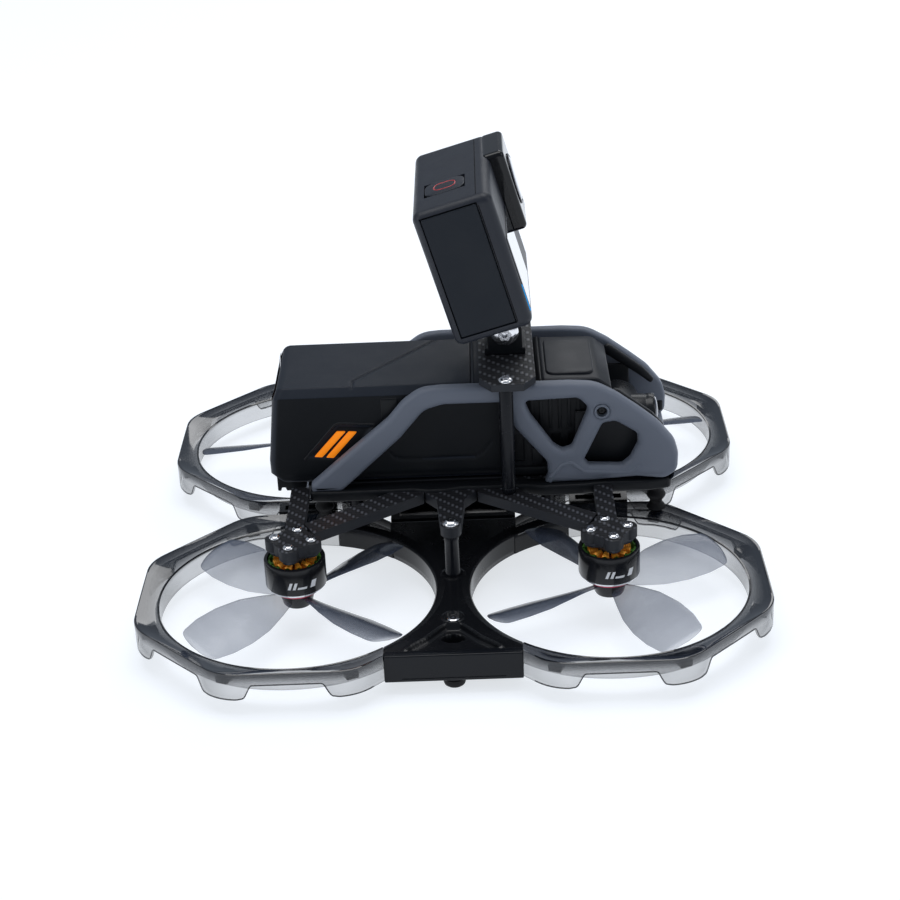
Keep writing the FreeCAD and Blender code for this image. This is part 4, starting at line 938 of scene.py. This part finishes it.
CAGE_OUTLINE = [
    (-46.4, 32.7, 1), (-46.4, 35.6, 1), (-33.0, 47.3, 30), (-19.6, 58.6, 8), (-14.6, 64.6, 9),
    (-8.6, 69.0, 12),
    (-2.0, 69.5, 12), (40.0, 69.5, 16), (48.5, 68.9, 14), (55.6, 64.8, 20), (63.2, 59.0, 20),
    (69.4, 53.8, 14),
    (74.6, 47.2, 9), (75.8, 42.6, 6), (75.6, 36.6, 4), (71.6, 33.7, 5), (62.0, 34.4, 8),
    (46.0, 33.4, 8), (31.2, 33.2, 1.2), (32.6, 36.0, 3),
    (32.4, 41.0, 3), (26.4, 48.4, 6), (21.9, 54.2, 5), (20.0, 60.0, 3), (18.6, 63.2, 1), (-1.2, 63.3, 10),
    (-7.6, 61.4, 7), (-15.9, 51.6, 12), (-27.0, 41.4, 40), (-36.4, 32.7, 1)]
FRONT_WINDOW = [(50.9, 54.5, 2.4), (55.2, 55.0, 3), (62.3, 50.4, 3), (62.6, 46.6, 2.5), (59.9, 41.0, 3),
                (57.2, 38.7, 2.5), (46.2, 39.3, 1.6), (44.6, 41.2, 1.4)]
UPPER_WINDOW = [(25.2, 63.4, 1.5), (43.0, 63.9, 3.2), (46.4, 60.2, 3.2), (40.6, 45.9, 2.5), (37.4, 45.0, 2.2),
                (34.6, 47.1, 2.5), (27.3, 58.0, 8)]
CONTOUR = [(33.4, 35.6), (37.2, 40.0), (40.4, 40.9), (44.6, 37.2), (59.6, 36.2), (63.4, 39.2)]


def cage_rail(sign):
    """One side: the outline with its windows and screw hole, rounded all round, then drawn
    outward by a soft swell toward the nose."""
    loops = [soft_loop(CAGE_OUTLINE, 5, 9), soft_loop(FRONT_WINDOW, 3, 8)[::-1],
             soft_loop(UPPER_WINDOW, 3, 8)[::-1], circle_loop(50.6, 59.0, 1.75, 28)]
    points, faces = plate_points(loops, CAGE_INNER, CAGE_OUTER, 1.9, steps=6, low_edge=1.1)
    x, z, y = points[:, 0], points[:, 1], points[:, 2]
    outer = smooth(23.0, 25.0, y)
    y = y + outer * 0.9 * smooth(60, 70, x) * smooth(74, 66, z)
    return np.stack([x, sign * y, z], -1), faces


cage = Shell()
for sign in (1, -1):
    cage.add(*cage_rail(sign))
    ridge = np.array(CONTOUR, float)
    t = np.linspace(0, len(ridge) - 1, 60)
    path = np.stack([np.interp(t, np.arange(len(ridge)), ridge[:, 0]), 0 * t + sign * (CAGE_OUTER - 0.35),
                     np.interp(t, np.arange(len(ridge)), ridge[:, 1])], -1)
    cage.add(*tube(path, 0.75, 10))
    ring_turn = np.linspace(0, 2 * math.pi, 41)
    collar = np.stack([50.6 + 2.15 * np.cos(ring_turn), 0 * ring_turn + sign * (CAGE_OUTER - 0.1),
                       59.0 + 2.15 * np.sin(ring_turn)], -1)
    cage.add(*tube(collar, 0.42, 10))
nose = np.linspace(-1, 1, 61)
nose_loop = soft_loop([(63.2, 32.7), (73.9, 32.7), (74.9, 36.2), (66.0, 37.2), (63.2, 36.0)], 1.4, 6)
nose_points = np.stack([np.broadcast_to(nose_loop[None, :, 0], (61, len(nose_loop))),
                        nose[:, None] * 24.2 + 0 * nose_loop[None, :, 0],
                        np.broadcast_to(nose_loop[None, :, 1], (61, len(nose_loop)))], -1)
cage.add(nose_points, grid_faces(61, len(nose_loop), ring_columns=True))
finish_piece("slate_cage", cage, CAGE_SLATE, "airframe", ["body_cage"], sharp=60)

SCREW_BLACK = bright_metal("black_screw", (0.012, 0.012, 0.014), 0.3, metallic=0.2, Specular_IOR_Level=0.25)
sunk = Shell()
for sign in (1, -1):
    head, head_faces = screw_head(0, 0, 0, 1.55, 0.7)
    sunk.add(np.stack([50.6 + head[..., 0], sign * (23.6 + head[..., 2]), 59.0 + head[..., 1]], -1),
             head_faces)
finish_piece("cage_screw_heads", sunk, SCREW_BLACK, "airframe", ["cage_screws"], sharp=40)

# ------------------------------------------------------------------ electronics and its cover
# A ribbed black housing with the receiver, a slate top cover with a raised square panel,
# and the nose camera, which tilts between two ears.

CORE_BLACK = moulded("core_black_plastic", (0.006, 0.007, 0.009), rough=0.42, drift=0.35, grain=0.35,
                     depth=0.02,
                     Specular_IOR_Level=0.2)
softened_copy("radio_housing", ["electronics_core"], CORE_BLACK, "airframe", 0.7)
ribs = Shell()
for x in np.linspace(21.5, 46.5, 9):
    for sign in (1, -1):
        low_y, high_y = sorted((17.3 * sign, 18.1 * sign))
        ribs.add(*rounded_block((x - 0.55, low_y, 50.2), (x + 0.55, high_y, 63.0), 0.2))
ribs.add(*rounded_block((19.5, -18.6, 33.2), (45.5, -17.3, 36.4), 0.5))
ribs.add(*rounded_block((27.5, -18.8, 37.2), (31.5, -17.3, 43.5), 0.5))
finish_piece("housing_ribs", ribs, CORE_BLACK, "airframe")

COVER_SLATE = moulded("cover_slate", (0.0085, 0.010, 0.014), rough=0.38, drift=0.12, grain=0.2, depth=0.012,
                      Specular_IOR_Level=0.2)
cover = Shell()
side_loop = soft_loop([(31.0, 64.9, 0.6), (31.0, 68.2, 2.2), (49.6, 67.9, 5), (54.4, 64.2, 1.6),
                       (54.2, 62.6, 0.8),
                       (49.6, 64.9, 1)], 1, 7)
points, faces = plate_points([side_loop], -18.0, 18.0, 1.1, steps=5)
cover.add(np.stack([points[:, 0], points[:, 2], points[:, 1]], -1), faces)
panel_loop = soft_loop([(32.8, -14.6), (48.8, -14.6), (48.8, 14.6), (32.8, 14.6)], 3.4, 8)
points, faces = plate_points([panel_loop], 66.5, 68.75, 0.7, steps=5)
cover.add(points, faces)
finish_piece("slate_cover", cover, COVER_SLATE, "airframe", ["top_cover"], sharp=50)
brow = Shell()
brow_loop = soft_loop([(29.4, 63.6, 0.4), (29.6, 67.6, 1.0), (31.4, 68.6, 0.8), (31.6, 63.6, 0.4)], 0.5, 5)
points, faces = plate_points([brow_loop], -18.4, 18.4, 0.4, steps=3)
brow.add(np.stack([points[:, 0], points[:, 2], points[:, 1]], -1), faces)
for sign in (1, -1):
    spur_loop = soft_loop([(53.0, 62.0), (55.4, 64.6), (67.6, 55.0), (71.6, 50.4), (70.4, 49.0),
                           (66.0, 52.6)], 1.6, 6)
    low, high = sorted((17.2 * sign, 19.4 * sign))
    points, faces = plate_points([spur_loop], low, high, 0.5, steps=3)
    brow.add(np.stack([points[:, 0], points[:, 2], points[:, 1]], -1), faces)
    tip, tip_faces = rounded_block((72.6, 0, 36.8), (74.9, 2.4, 40.8), 0.6)
    brow.add(tip + np.array([0, 20.6 if sign > 0 else -23.0, 0]), tip_faces)
    low, high = sorted((18.4 * sign, 19.3 * sign))
    brow.add(*rounded_block((42.0, low, 35.5), (62.8, high, 56.5), 0.4))
    sill = soft_loop([(-46.6, 20.6), (-47.4, 25.4), (-40.0, 26.3), (-12.0, 25.7), (-8.0, 26.9), (-2.0, 26.9),
                      (3.0, 25.6), (26.0, 25.6), (31.0, 27.1), (44.0, 26.9), (50.0, 25.8), (66.0, 26.0),
                      (73.2, 24.4), (74.4, 20.6)], 2.5, 6)
    points, faces = plate_points([sill], 29.6, 33.4, 0.9, steps=4)
    brow.add(points * np.array([1, sign, 1]), faces)
finish_piece("nose_brow", brow, CORE_BLACK, "airframe", sharp=45)
softened_copy("gimbal_ears", ["gimbal_fork"], CORE_BLACK, "airframe", 0.5)

GIMBAL_BLACK = moulded("gimbal_black", (0.010, 0.011, 0.013), rough=0.28, drift=0.3, grain=0.4,
                       Specular_IOR_Level=0.35)


def lathe_along(profile, start, axis, steps=56):
    """A profile of (radius, distance) pairs carried round an axis through a start point."""
    axis = np.array(axis, float)
    axis /= np.linalg.norm(axis)
    side = np.cross(axis, [0, 0, 1]) if abs(axis[2]) < 0.9 else np.array([1.0, 0, 0])
    side /= np.linalg.norm(side)
    other = np.cross(axis, side)
    radius, run = (np.array(column, float)[:, None, None] for column in zip(*profile))
    angle = np.linspace(0, 2 * math.pi, steps, endpoint=False)[None, :, None]
    points = np.array(start, float) + run * axis + radius * (np.cos(angle) * side + np.sin(angle) * other)
    return points, grid_faces(len(profile), steps, ring_columns=True)


GIMBAL = (58.0, 0.0, 46.5)
nose_camera = Shell()
nose_camera.add(*lathe_along([(0, -14.6), (1.5, -14.6), (1.6, -14.4), (1.6, -11.6), (6.6, -11.5),
                              (7.3, -11.0),
                              (7.5, -10.2), (7.5, 10.2), (7.3, 11.0), (6.6, 11.5), (1.6, 11.6), (1.6, 14.4),
                              (1.5, 14.6), (0, 14.6)], GIMBAL, (0, 1, 0)))
nose_camera.add(*lathe_along([(0, 0), (6.3, 0), (6.3, 8.4), (6.1, 8.8), (6.1, 9.4), (6.3, 9.8), (6.3, 11.5),
                              (6.0, 12.0), (5.5, 12.05), (5.3, 11.3), (0, 11.2)], GIMBAL, (1, 0, 0)))
finish_piece("nose_camera_body", nose_camera, GIMBAL_BLACK, "gimbal_camera", ["gimbal_camera"],
             sharp=35)


def lens_finish(name, tint, sheen_tint):
    """Coated glass: near-black, with a painted coloured sheen in its base colour that grows as the lens turns
    edge-on to the eye.
    """
    material, tree, shader = new_material(name, Roughness=0.03, Coat_Weight=1.0, Coat_Roughness=0.02,
                                          Specular_IOR_Level=0.8)
    facing = wire(tree, "ShaderNodeLayerWeight", {"Blend": 0.4}).outputs["Facing"]
    place = wire(tree, "ShaderNodeTexCoord").outputs["Object"]
    bloom = wire(tree, "ShaderNodeTexNoise", {"Vector": place, "Scale": 120.0}).outputs[0]
    # Painted sheen: the base colour turns from the dark tint toward the sheen tint as the surface turns
    # edge-on.
    share = sums(tree, "MULTIPLY", facing, sums(tree, "MULTIPLY_ADD", bloom, 0.6, 0.5), clamp=True)
    tone = wire(tree, "ShaderNodeMix", {0: share, 6: (*tint, 1), 7: (*sheen_tint, 1)},
                data_type="RGBA").outputs[2]
    tree.links.new(tone, shader.inputs["Base Color"])
    return material


LENS = lens_finish("lens_coating", (0.004, 0.005, 0.009), (0.05, 0.07, 0.16))
lens = Shell().add(*lathe_along([(0, 10.9), (5.3, 11.2), (5.35, 12.0), (4.9, 12.5), (3.6, 12.9), (2.0, 13.15),
                                 (0, 13.2)], GIMBAL, (1, 0, 0)))
finish_piece("nose_camera_glass", lens, LENS, "gimbal_camera", ["gimbal_lens"])

# ------------------------------------------------------------------ battery
# A smart battery pack in a black moulded case with chamfered shoulders, moulded seams, a
# striped recess in each side, side latches, a rear power button and a hook below its
# rear.  It slides back out of the cage and rests on a thin tray.

PACK_FRONT = 17.0
STRIPE_RECESS = [(-47.1, 44.2), (-36.4, 55.2), (-25.1, 54.4), (-33.2, 42.8), (-47.1, 44.2)]
SIDE_LINE = [(-19.6, 44.5), (-18.4, 42.9), (-16.4, 42.2), (8.3, 41.9), (11.2, 43.4), (14.2, 47.4)]
TOP_SEAM = [(-31.2, -20.0), (-31.2, -13.8), (-25.5, -7.1), (-15.7, 4.4), (-5.7, 16.2), (-2.0, 20.0)]
TOP_STEP = [(8.4, -20.0), (8.4, 20.0)]


def pack_rear(z):
    """How far back the case reaches at a height: a straight lean between given corners."""
    return np.interp(z, [34.3, 37.4, 42.0, 65.6, 68.3], [-56.8, -60.1, -60.2, -57.6, -56.4])


def groove(distance, width):
    return np.exp(-(distance / width) ** 2)


def pack_case():
    """The case as a sleeve.  Round the sleeve runs the end view with rounded corners and
    shoulders; along it the section is drawn in near the rear by a quarter circle.  Seams
    and recesses push each point inward by a curve of its distance to their lines."""
    view = soft_loop([(-20.5, 34.3, 2.0), (20.5, 34.3, 2.0), (20.5, 65.6, 0.9), (18.2, 68.3, 0.9),
                      (-18.2, 68.3, 0.9), (-20.5, 65.6, 0.9)], 1, 8)
    closed = np.concatenate([view, view[:1]])
    run = np.concatenate([[0], np.cumsum(np.linalg.norm(np.diff(closed, axis=0), axis=1))])
    marks = np.unique(np.concatenate([run[:-1], np.linspace(0, run[-1], 232, endpoint=False)]))
    y0, z0 = np.interp(marks, run, closed[:, 0])[None, :], np.interp(marks, run, closed[:, 1])[None, :]
    along = np.concatenate([np.linspace(0, 3.0, 12), np.linspace(3.3, 77.0, 226)])[:, None]
    rear = pack_rear(z0)
    x = rear + along * (PACK_FRONT - rear) / 77.0
    depth = np.clip(1 - along / 3.0, 0, 1)
    draw = 2.6 * (1 - np.sqrt(1 - depth ** 2))
    y = y0 - np.sign(y0) * draw * smooth(2, 12, np.abs(y0))
    z = z0 + draw * 0.45 * np.where(z0 > 51, -1, 1) * smooth(4, 14, np.abs(z0 - 51))
    on_side = smooth(20.2, 20.45, np.abs(y0)) * smooth(0.8, 2.5, along)
    stripe = smooth(0.9, -0.9, line_signed(x, z, STRIPE_RECESS[:-1]))
    push = 0.75 * stripe + 0.35 * groove(line_distance(x, z, SIDE_LINE), 0.35)
    push = push + 0.35 * groove(z - 36.6 + 0 * x, 0.3)
    y = y - np.sign(y) * on_side * push
    on_top = smooth(67.6, 68.2, z0)
    sink = 0.55 * groove(line_distance(x, y0 + 0 * x, TOP_SEAM), 0.4)
    sink = sink + 0.5 * groove(line_distance(x, y0 + 0 * x, TOP_STEP), 0.35)
    ahead = smooth(8.6, 9.4, x) * 0.35
    z = z - on_top * (sink + ahead)
    points = np.stack([x, y, z], -1)
    rows, columns = points.shape[:2]
    shell = Shell().add(points, grid_faces(rows, columns, ring_columns=True))
    for row in (0, -1):
        shrunk = points[row].copy()
        middle = np.array([0, 0, 51.0])
        rings = []
        for share in (1.0, 0.985, 0.6, 0.0):
            ring = shrunk.copy()
            ring[:, 1:] = middle[1:] + (shrunk[:, 1:] - middle[1:]) * share
            ring[:, 0] = pack_rear(ring[:, 2]) if row == 0 else PACK_FRONT
            rings.append(ring)
        shell.add(np.stack(rings), grid_faces(4, columns, ring_columns=True))
    return shell


def line_signed(x, y, corners):
    """Signed distance to a four-sided outline, negative inside: the greatest of the
    distances beyond each side's line."""
    spots = np.array(corners, float)
    ahead = np.roll(spots, -1, 0) - spots
    area = (spots[:, 0] * np.roll(spots[:, 1], -1) - np.roll(spots[:, 0], -1) * spots[:, 1]).sum()
    outward = np.stack([ahead[:, 1], -ahead[:, 0]], -1) * np.sign(area)
    outward /= np.linalg.norm(outward, axis=1)[:, None]
    away = (x[..., None] - spots[:, 0]) * outward[:, 0] + (y[..., None] - spots[:, 1]) * outward[:, 1]
    return away.max(-1)


def case_finish():
    """Black case plastic: linen-fine texture on the upward faces, smoother and darker sides."""
    material, tree, shader = new_material("battery_case_plastic", Specular_IOR_Level=0.17)
    place = wire(tree, "ShaderNodeTexCoord").outputs["Object"]
    made = wire(tree, "ShaderNodeGroup", node_tree=MOULDING)
    tree.links.new(place, made.inputs["Place"])
    made.inputs["Drift"].default_value = 0.22
    made.inputs["Rough"].default_value = 0.46
    made.inputs["Grain Size"].default_value = 0.22
    upward_face = wire(tree, "ShaderNodeSeparateXYZ",
                       {0: wire(tree, "ShaderNodeNewGeometry").outputs["Normal"]})
    sideways = sums(tree, "ABSOLUTE", upward_face.outputs["Y"])
    level = wire(tree, "ShaderNodeMapRange", {"Value": sideways, "From Min": 0.98, "From Max": 0.90})
    tone = wire(tree, "ShaderNodeMix", {0: level.outputs[0], 6: (0.0030, 0.0042, 0.0062, 1),
                                        7: (0.0150, 0.0190, 0.0275, 1)}, data_type="RGBA").outputs[2]
    tree.links.new(tone, made.inputs["Tone"])
    thread = wire(tree, "ShaderNodeMapping", {"Vector": place, "Scale": (5, 1, 1)}).outputs[0]
    linen = wire(tree, "ShaderNodeTexNoise", {"Vector": thread, "Scale": 1500.0, "Detail": 1.0}).outputs[0]
    height = sums(tree, "MULTIPLY_ADD", linen, level.outputs[0], made.outputs["Height"])
    bump = wire(tree, "ShaderNodeBump", {"Height": height, "Distance": 0.02 * MM}).outputs[0]
    for label, value in (("Base Color", made.outputs["Color"]), ("Roughness", made.outputs["Roughness"]),
                         ("Normal", bump)):
        tree.links.new(value, shader.inputs[label])
    return material


CASE_BLACK = case_finish()
case = pack_case()
hook_loop = soft_loop([(-58.4, 36.5), (-48.6, 36.5), (-48.6, 31.6), (-50.2, 30.4), (-55.4, 30.4),
                       (-55.8, 31.6),
                       (-57.0, 31.6), (-57.3, 30.4), (-58.4, 30.4)], 0.4, 4)
points, faces = plate_points([hook_loop], -18.0, 18.0, 0.4, steps=3)
case.add(np.stack([points[:, 0], points[:, 2], points[:, 1]], -1), faces)
finish_piece("battery_pack", case, CASE_BLACK, "battery", ["battery_case"], sharp=42)

# Besides its colour the orange has a weak emission: a painted glow that lifts the stripes above what the
# lamps give.
ORANGE = moulded("stripe_orange_painted_glow", (1.0, 0.27, 0.008), rough=0.4, drift=0.10, grain=0.15, depth=0.008,
                 Specular_IOR_Level=0.2, Emission_Color=(1.0, 0.24, 0.006), Emission_Strength=0.4)
stripes = Shell()
for sign in (1, -1):
    for corners in ([(-45.4, 43.5), (-42.7, 43.3), (-33.9, 52.9), (-36.9, 53.0)],
                    [(-41.4, 43.2), (-38.7, 43.1), (-30.2, 52.6), (-33.0, 52.8)]):
        points, faces = plate_points([soft_loop(corners, 0.3, 4)], 19.4, 20.15, 0.15, steps=3)
        stripes.add(np.stack([points[:, 0], sign * points[:, 2], points[:, 1]], -1), faces)
finish_piece("case_stripes", stripes, ORANGE, "battery", sharp=45)
# A dark line along the stripe recess's upper and upper-left edges.
RECESS_EDGE_DARK = moulded("recess_edge_dark", (0.004, 0.005, 0.007), rough=0.3, drift=0.2, grain=0.3,
                      Specular_IOR_Level=0.3)
edge_lines = Shell()
for sign in (1, -1):
    edge_path = np.array([(-48.4, 43.2), (-37.6, 55.6), (-36.2, 56.2), (-24.2, 55.2)])
    t = np.linspace(0, 3, 50)
    path = np.stack([np.interp(t, range(4), edge_path[:, 0]), 0 * t + sign * 20.3,
                     np.interp(t, range(4), edge_path[:, 1])], -1)
    edge_lines.add(*tube(path, 0.42, 8))
finish_piece("recess_edge_line", edge_lines, RECESS_EDGE_DARK, "battery", sharp=60)

LATCH_BLACK = moulded("latch_black", (0.004, 0.005, 0.0065), rough=0.3, drift=0.2, grain=0.3,
                      Specular_IOR_Level=0.2)
for side, sign in (("left", 1), ("right", -1)):
    latch = Shell()
    low, high = sorted((18.8 * sign, 20.8 * sign))
    latch.add(*rounded_block((-22.0, low, 56.8), (-16.0, high, 64.6), 0.6))
    finish_piece(f"latch_pad_{side}", latch, LATCH_BLACK, f"latch_{side}",
                 [f"battery_latch_{side}"])
rear_button = Shell().add(*lathe_along([(0, 0), (2.9, 0), (3.0, 0.1), (3.0, 1.5), (2.7, 1.8), (2.2, 1.8),
                                        (1.9, 1.65), (0, 1.6)], (-58.2, 0, 50.0), (-1, 0, 0), 40))
finish_piece("pack_button", rear_button, LATCH_BLACK, "power_button", ["power_button"])
softened_copy("pack_tray", ["battery_tray"], CORE_BLACK, "airframe", 0.5)

# ------------------------------------------------------------------ standoffs, crossbar and tilt mount
# Two turned standoffs carry a woven carbon crossbar; a moulded black three-prong mount is
# bolted to it, and one bright button-head bolt with a black nut holds the camera's tilt.

uprights = Shell()
for sign in (1, -1):
    uprights.add(*lathe([(0, 32.5), (2.15, 32.5), (2.3, 32.75), (2.3, 34.4), (2.1, 34.6), (2.1, 35.0),
                         (2.3, 35.2),
                         (2.3, 69.9), (2.1, 70.4), (0, 70.4)], 19.4, 28.6 * sign, 40))
finish_piece("bar_standoffs", uprights, ANODISED, "airframe", ["standoffs"])

BAR_CARBON = woven("carbon_bar", 1.5, light=(0.13, 0.135, 0.15))
softened_copy("carbon_crossbar", ["crossbar"], BAR_CARBON, "airframe", 0.5, segments=2)

MOUNT_BLACK = moulded("mount_black", (0.006, 0.007, 0.009), rough=0.34, drift=0.3, grain=0.25, depth=0.02,
                      Specular_IOR_Level=0.2)
softened_copy("three_prong_mount", ["tilt_mount"], MOUNT_BLACK, "airframe", 0.35)

TILT_X, TILT_Z, TILT = 19.8, 81.3, math.radians(15.8)
bolt = Shell()
head, head_faces = screw_head(0, 0, 0, 4.75, 2.95, socket=0.42)
bolt.add(np.stack([TILT_X + head[..., 0], -7.65 - head[..., 2], TILT_Z + head[..., 1]], -1), head_faces)
bolt.add(*lathe_along([(0, -7.7), (2.45, -7.7), (2.45, 10.4), (2.2, 10.7), (0, 10.7)],
                      (TILT_X, 0, TILT_Z), (0, 1, 0), 40))
finish_piece("tilt_bolt_bright", bolt, PLATED, "airframe", ["tilt_bolt"], sharp=40)
softened_copy("tilt_nut_black", ["tilt_nut"], ANODISED, "airframe", 0.3)

# ------------------------------------------------------------------ action camera
# A rubberised slate case with a hinged side door, a gloss black lens block and front
# screen, and two buttons.  Everything is placed from the tilt bolt: forward, left and up.

def from_bolt(points):
    """Turns forward, left and up distances from the bolt by the rest tilt into the frame."""
    points = np.asarray(points, float)
    ahead, left, rise = points[..., 0], points[..., 1], points[..., 2]
    return np.stack([TILT_X + ahead * math.cos(TILT) - rise * math.sin(TILT), left,
                     TILT_Z + ahead * math.sin(TILT) + rise * math.cos(TILT)], -1)


AHEAD = (math.cos(TILT), 0, math.sin(TILT))
CASE_SLATE = moulded("case_slate", (0.0135, 0.0165, 0.0245), rough=0.42, drift=0.10, grain=0.14, depth=0.012,
                     Specular_IOR_Level=0.35)
DOOR_SLATE = moulded("door_slate", (0.0070, 0.0105, 0.0165), rough=0.5, drift=0.12, grain=0.16, depth=0.02,
                     Specular_IOR_Level=0.25)
GLOSS_BLACK = moulded("gloss_black", (0.004, 0.0045, 0.006), rough=0.10, drift=0.2, grain=2.5, depth=0.003,
                      Specular_IOR_Level=0.25, Coat_Weight=0.15, Coat_Roughness=0.03)


def spaced(low, high, radius, marks, gap):
    """Stations along one axis: even ones, close ones through both rounds, and tight
    pairs at every mark so that a recess gets steep walls."""
    flats = np.linspace(low + radius, high - radius, int((high - low) / gap))
    rounds = np.linspace(0, radius, 7)[:-1]
    pairs = [mark + step for mark in marks for step in (-0.3, -0.06, 0.06, 0.3)]
    return np.unique(np.concatenate([low + rounds, flats, high - rounds, pairs]))


def rounded_case(low, high, radius, marks, gaps=(0.8, 0.8, 0.8)):
    """A block with round edges: every point of its six flat grids is pulled to the inner
    block and pushed out along that same line by the radius."""
    low, high = np.array(low, float), np.array(high, float)
    stations = [spaced(low[axis], high[axis], radius, marks[axis], gaps[axis]) for axis in range(3)]
    shell = Shell()
    for axis in range(3):
        u, v = (axis + 1) % 3, (axis + 2) % 3
        for end in (low[axis], high[axis]):
            points = np.empty((len(stations[u]), len(stations[v]), 3))
            points[..., axis] = end
            points[..., u], points[..., v] = stations[u][:, None], stations[v][None, :]
            inner = np.clip(points, low + radius, high - radius)
            away = points - inner
            points = inner + radius * away / np.linalg.norm(away, axis=-1, keepdims=True)
            shell.add(points, grid_faces(*points.shape[:2]))
    return shell


def inside(value, low, high):
    """One between two limits, nought outside them, with a slope of a tenth of a millimetre."""
    return smooth(low - 0.06, low + 0.06, value) * smooth(high + 0.06, high - 0.06, value)


case = rounded_case((-13.8, -30.5, 8.4), (12.1, 30.5, 55.1), 2.9,
                    ([-11.5, 7.2, -9.45, 4.05], [-16.95, -5.05], [11.2, 53.2]), (0.35, 0.8, 0.35))
points = np.concatenate(case.points)
ahead, left, rise = points.T
near = smooth(-29.6, -30.2, left)
points[:, 1] += 1.55 * near * inside(ahead, -11.5, 7.2) * inside(rise, 11.2, 53.2)
crown = smooth(54.2, 54.9, rise)
points[:, 2] -= 2.7 * crown * inside(ahead, -9.45, 4.05) * inside(left, -16.95, -5.05)
far = smooth(29.6, 30.2, left) * smooth(3.62, 3.5, np.hypot(ahead + 3.0, rise - 38.0))
points[:, 1] -= 2.1 * far
case.points = [from_bolt(points)]
finish_piece("camera_case", case, CASE_SLATE, "action_camera", ["camera_body", "camera_bezel"],
             sharp=40)
arm = Shell()
for low, high in ((-4.4, -1.7), (1.7, 4.4)):
    finger = soft_loop([(-4.4, -1.0), (4.4, -1.0), (5.0, 9.6), (-5.0, 9.6)], 4.3, 10)
    sides, faces = plate_points([finger, circle_loop(0, 0, 2.52, 28)], low, high, 0.3, steps=3)
    arm.add(from_bolt(np.stack([sides[:, 0], sides[:, 2], sides[:, 1]], -1)), faces)
finish_piece("camera_fingers", arm, CASE_SLATE, "action_camera")
lens_block = rounded_case((9.4, 6.0, 27.0), (17.0, 29.6, 55.1), 1.7, ([], [], []))
lens_block.points = [from_bolt(np.concatenate(lens_block.points))]
finish_piece("lens_block", lens_block, GLOSS_BLACK, "action_camera",
             ["camera_lens_housing"], sharp=40)
softened_copy("side_door", ["camera_door"], DOOR_SLATE, "camera_door", 0.45, segments=3)


def soft_line(corners, level, radius, sides=8):
    """A closed raised line: an outline with rounded corners at one height."""
    loop = soft_loop(corners, 4.0, 10)
    loop = np.concatenate([loop, loop[:1]])
    path = np.stack([loop[:, 0], loop[:, 1], 0 * loop[:, 0] + level], -1)
    return tube(from_bolt(path), radius, sides)


SEAM_BLACK = moulded("seam_black", (0.002, 0.002, 0.003), rough=0.6, drift=0.2, Specular_IOR_Level=0.1)
t = np.linspace(-1, 1, 30)
top_seam = tube(from_bolt(np.stack([0 * t + 7.5, 27.8 * t, 0 * t + 54.98], -1)), 0.2, 8)
near_seam = tube(from_bolt(np.stack([0 * t + 7.5, 0 * t - 30.42, 31.8 + 20.4 * t], -1)), 0.16, 8)
finish_piece("case_seams", Shell().add(*top_seam).add(*near_seam), SEAM_BLACK, "action_camera",
             sharp=60)

# The screen takes the same painted sheen as the lenses.
SCREEN = lens_finish("screen_glass", (0.006, 0.007, 0.010), (0.02, 0.025, 0.035))
softened_copy("front_screen", ["camera_screen"], SCREEN, "action_camera", 0.12)
main_lens = Shell().add(*lathe_along([(0, 16.6), (7.5, 16.9), (7.5, 17.35), (7.1, 17.6), (5.4, 17.72),
                                      (2.7, 17.78),
                                      (0, 17.8)], from_bolt((0, 17.8, 41.05)), AHEAD, 72))
finish_piece("main_lens", main_lens, LENS, "action_camera", ["camera_lens_glass"])
rim = Shell().add(*lathe_along([(7.55, 16.8), (8.6, 16.8), (8.6, 17.3), (8.3, 17.5), (7.8, 17.5),
                                (7.55, 17.3),
                                (7.55, 16.8)], from_bolt((0, 17.8, 41.05)), AHEAD, 72))
finish_piece("main_lens_rim", rim, ANODISED, "action_camera")

# The blue has a weak emission too: a painted glow on the badge, which is no lamp.
BADGE_BLUE = moulded("badge_blue_painted_glow", (0.01, 0.32, 0.75), rough=0.4, drift=0.1, Specular_IOR_Level=0.1,
                     Emission_Color=(0.01, 0.30, 0.72), Emission_Strength=0.4)
badge = Shell()
badge_points, badge_faces = rounded_block((11.9, -28.0, 12.6), (12.3, -21.4, 22.0), 0.15)
badge.add(from_bolt(badge_points), badge_faces)
finish_piece("case_badge", badge, BADGE_BLUE, "action_camera")

shutter = Shell()
shutter_loop = soft_loop([(-9.3, -16.8), (3.9, -16.8), (3.9, -5.2), (-9.3, -5.2)], 4.2, 10)
points, faces = plate_points([shutter_loop], 53.2, 55.28, 0.35, steps=4)
shutter.add(from_bolt(points), faces)
finish_piece("shutter_key", shutter, CASE_SLATE, "shutter_button", ["shutter_button"],
             sharp=45)
RING_RED = moulded("ring_red", (0.55, 0.012, 0.018), rough=0.28, drift=0.1, Coat_Weight=0.4)
ring = Shell().add(*soft_line([(-6.2, -13.6), (0.9, -13.6), (0.9, -7.8), (-6.2, -7.8)], 55.2, 0.2))
finish_piece("shutter_ring", ring, RING_RED, "shutter_button", sharp=60)
mode = Shell().add(*lathe_along([(0, 29.2), (2.95, 29.2), (3.0, 29.3), (3.0, 30.5), (2.75, 30.8), (2.2, 30.8),
                                 (1.9, 30.65), (0, 30.6)], from_bolt((-3.0, 0, 38.0)), (0, 1, 0), 40))
finish_piece("mode_key", mode, CASE_SLATE, "mode_button", ["mode_button"])
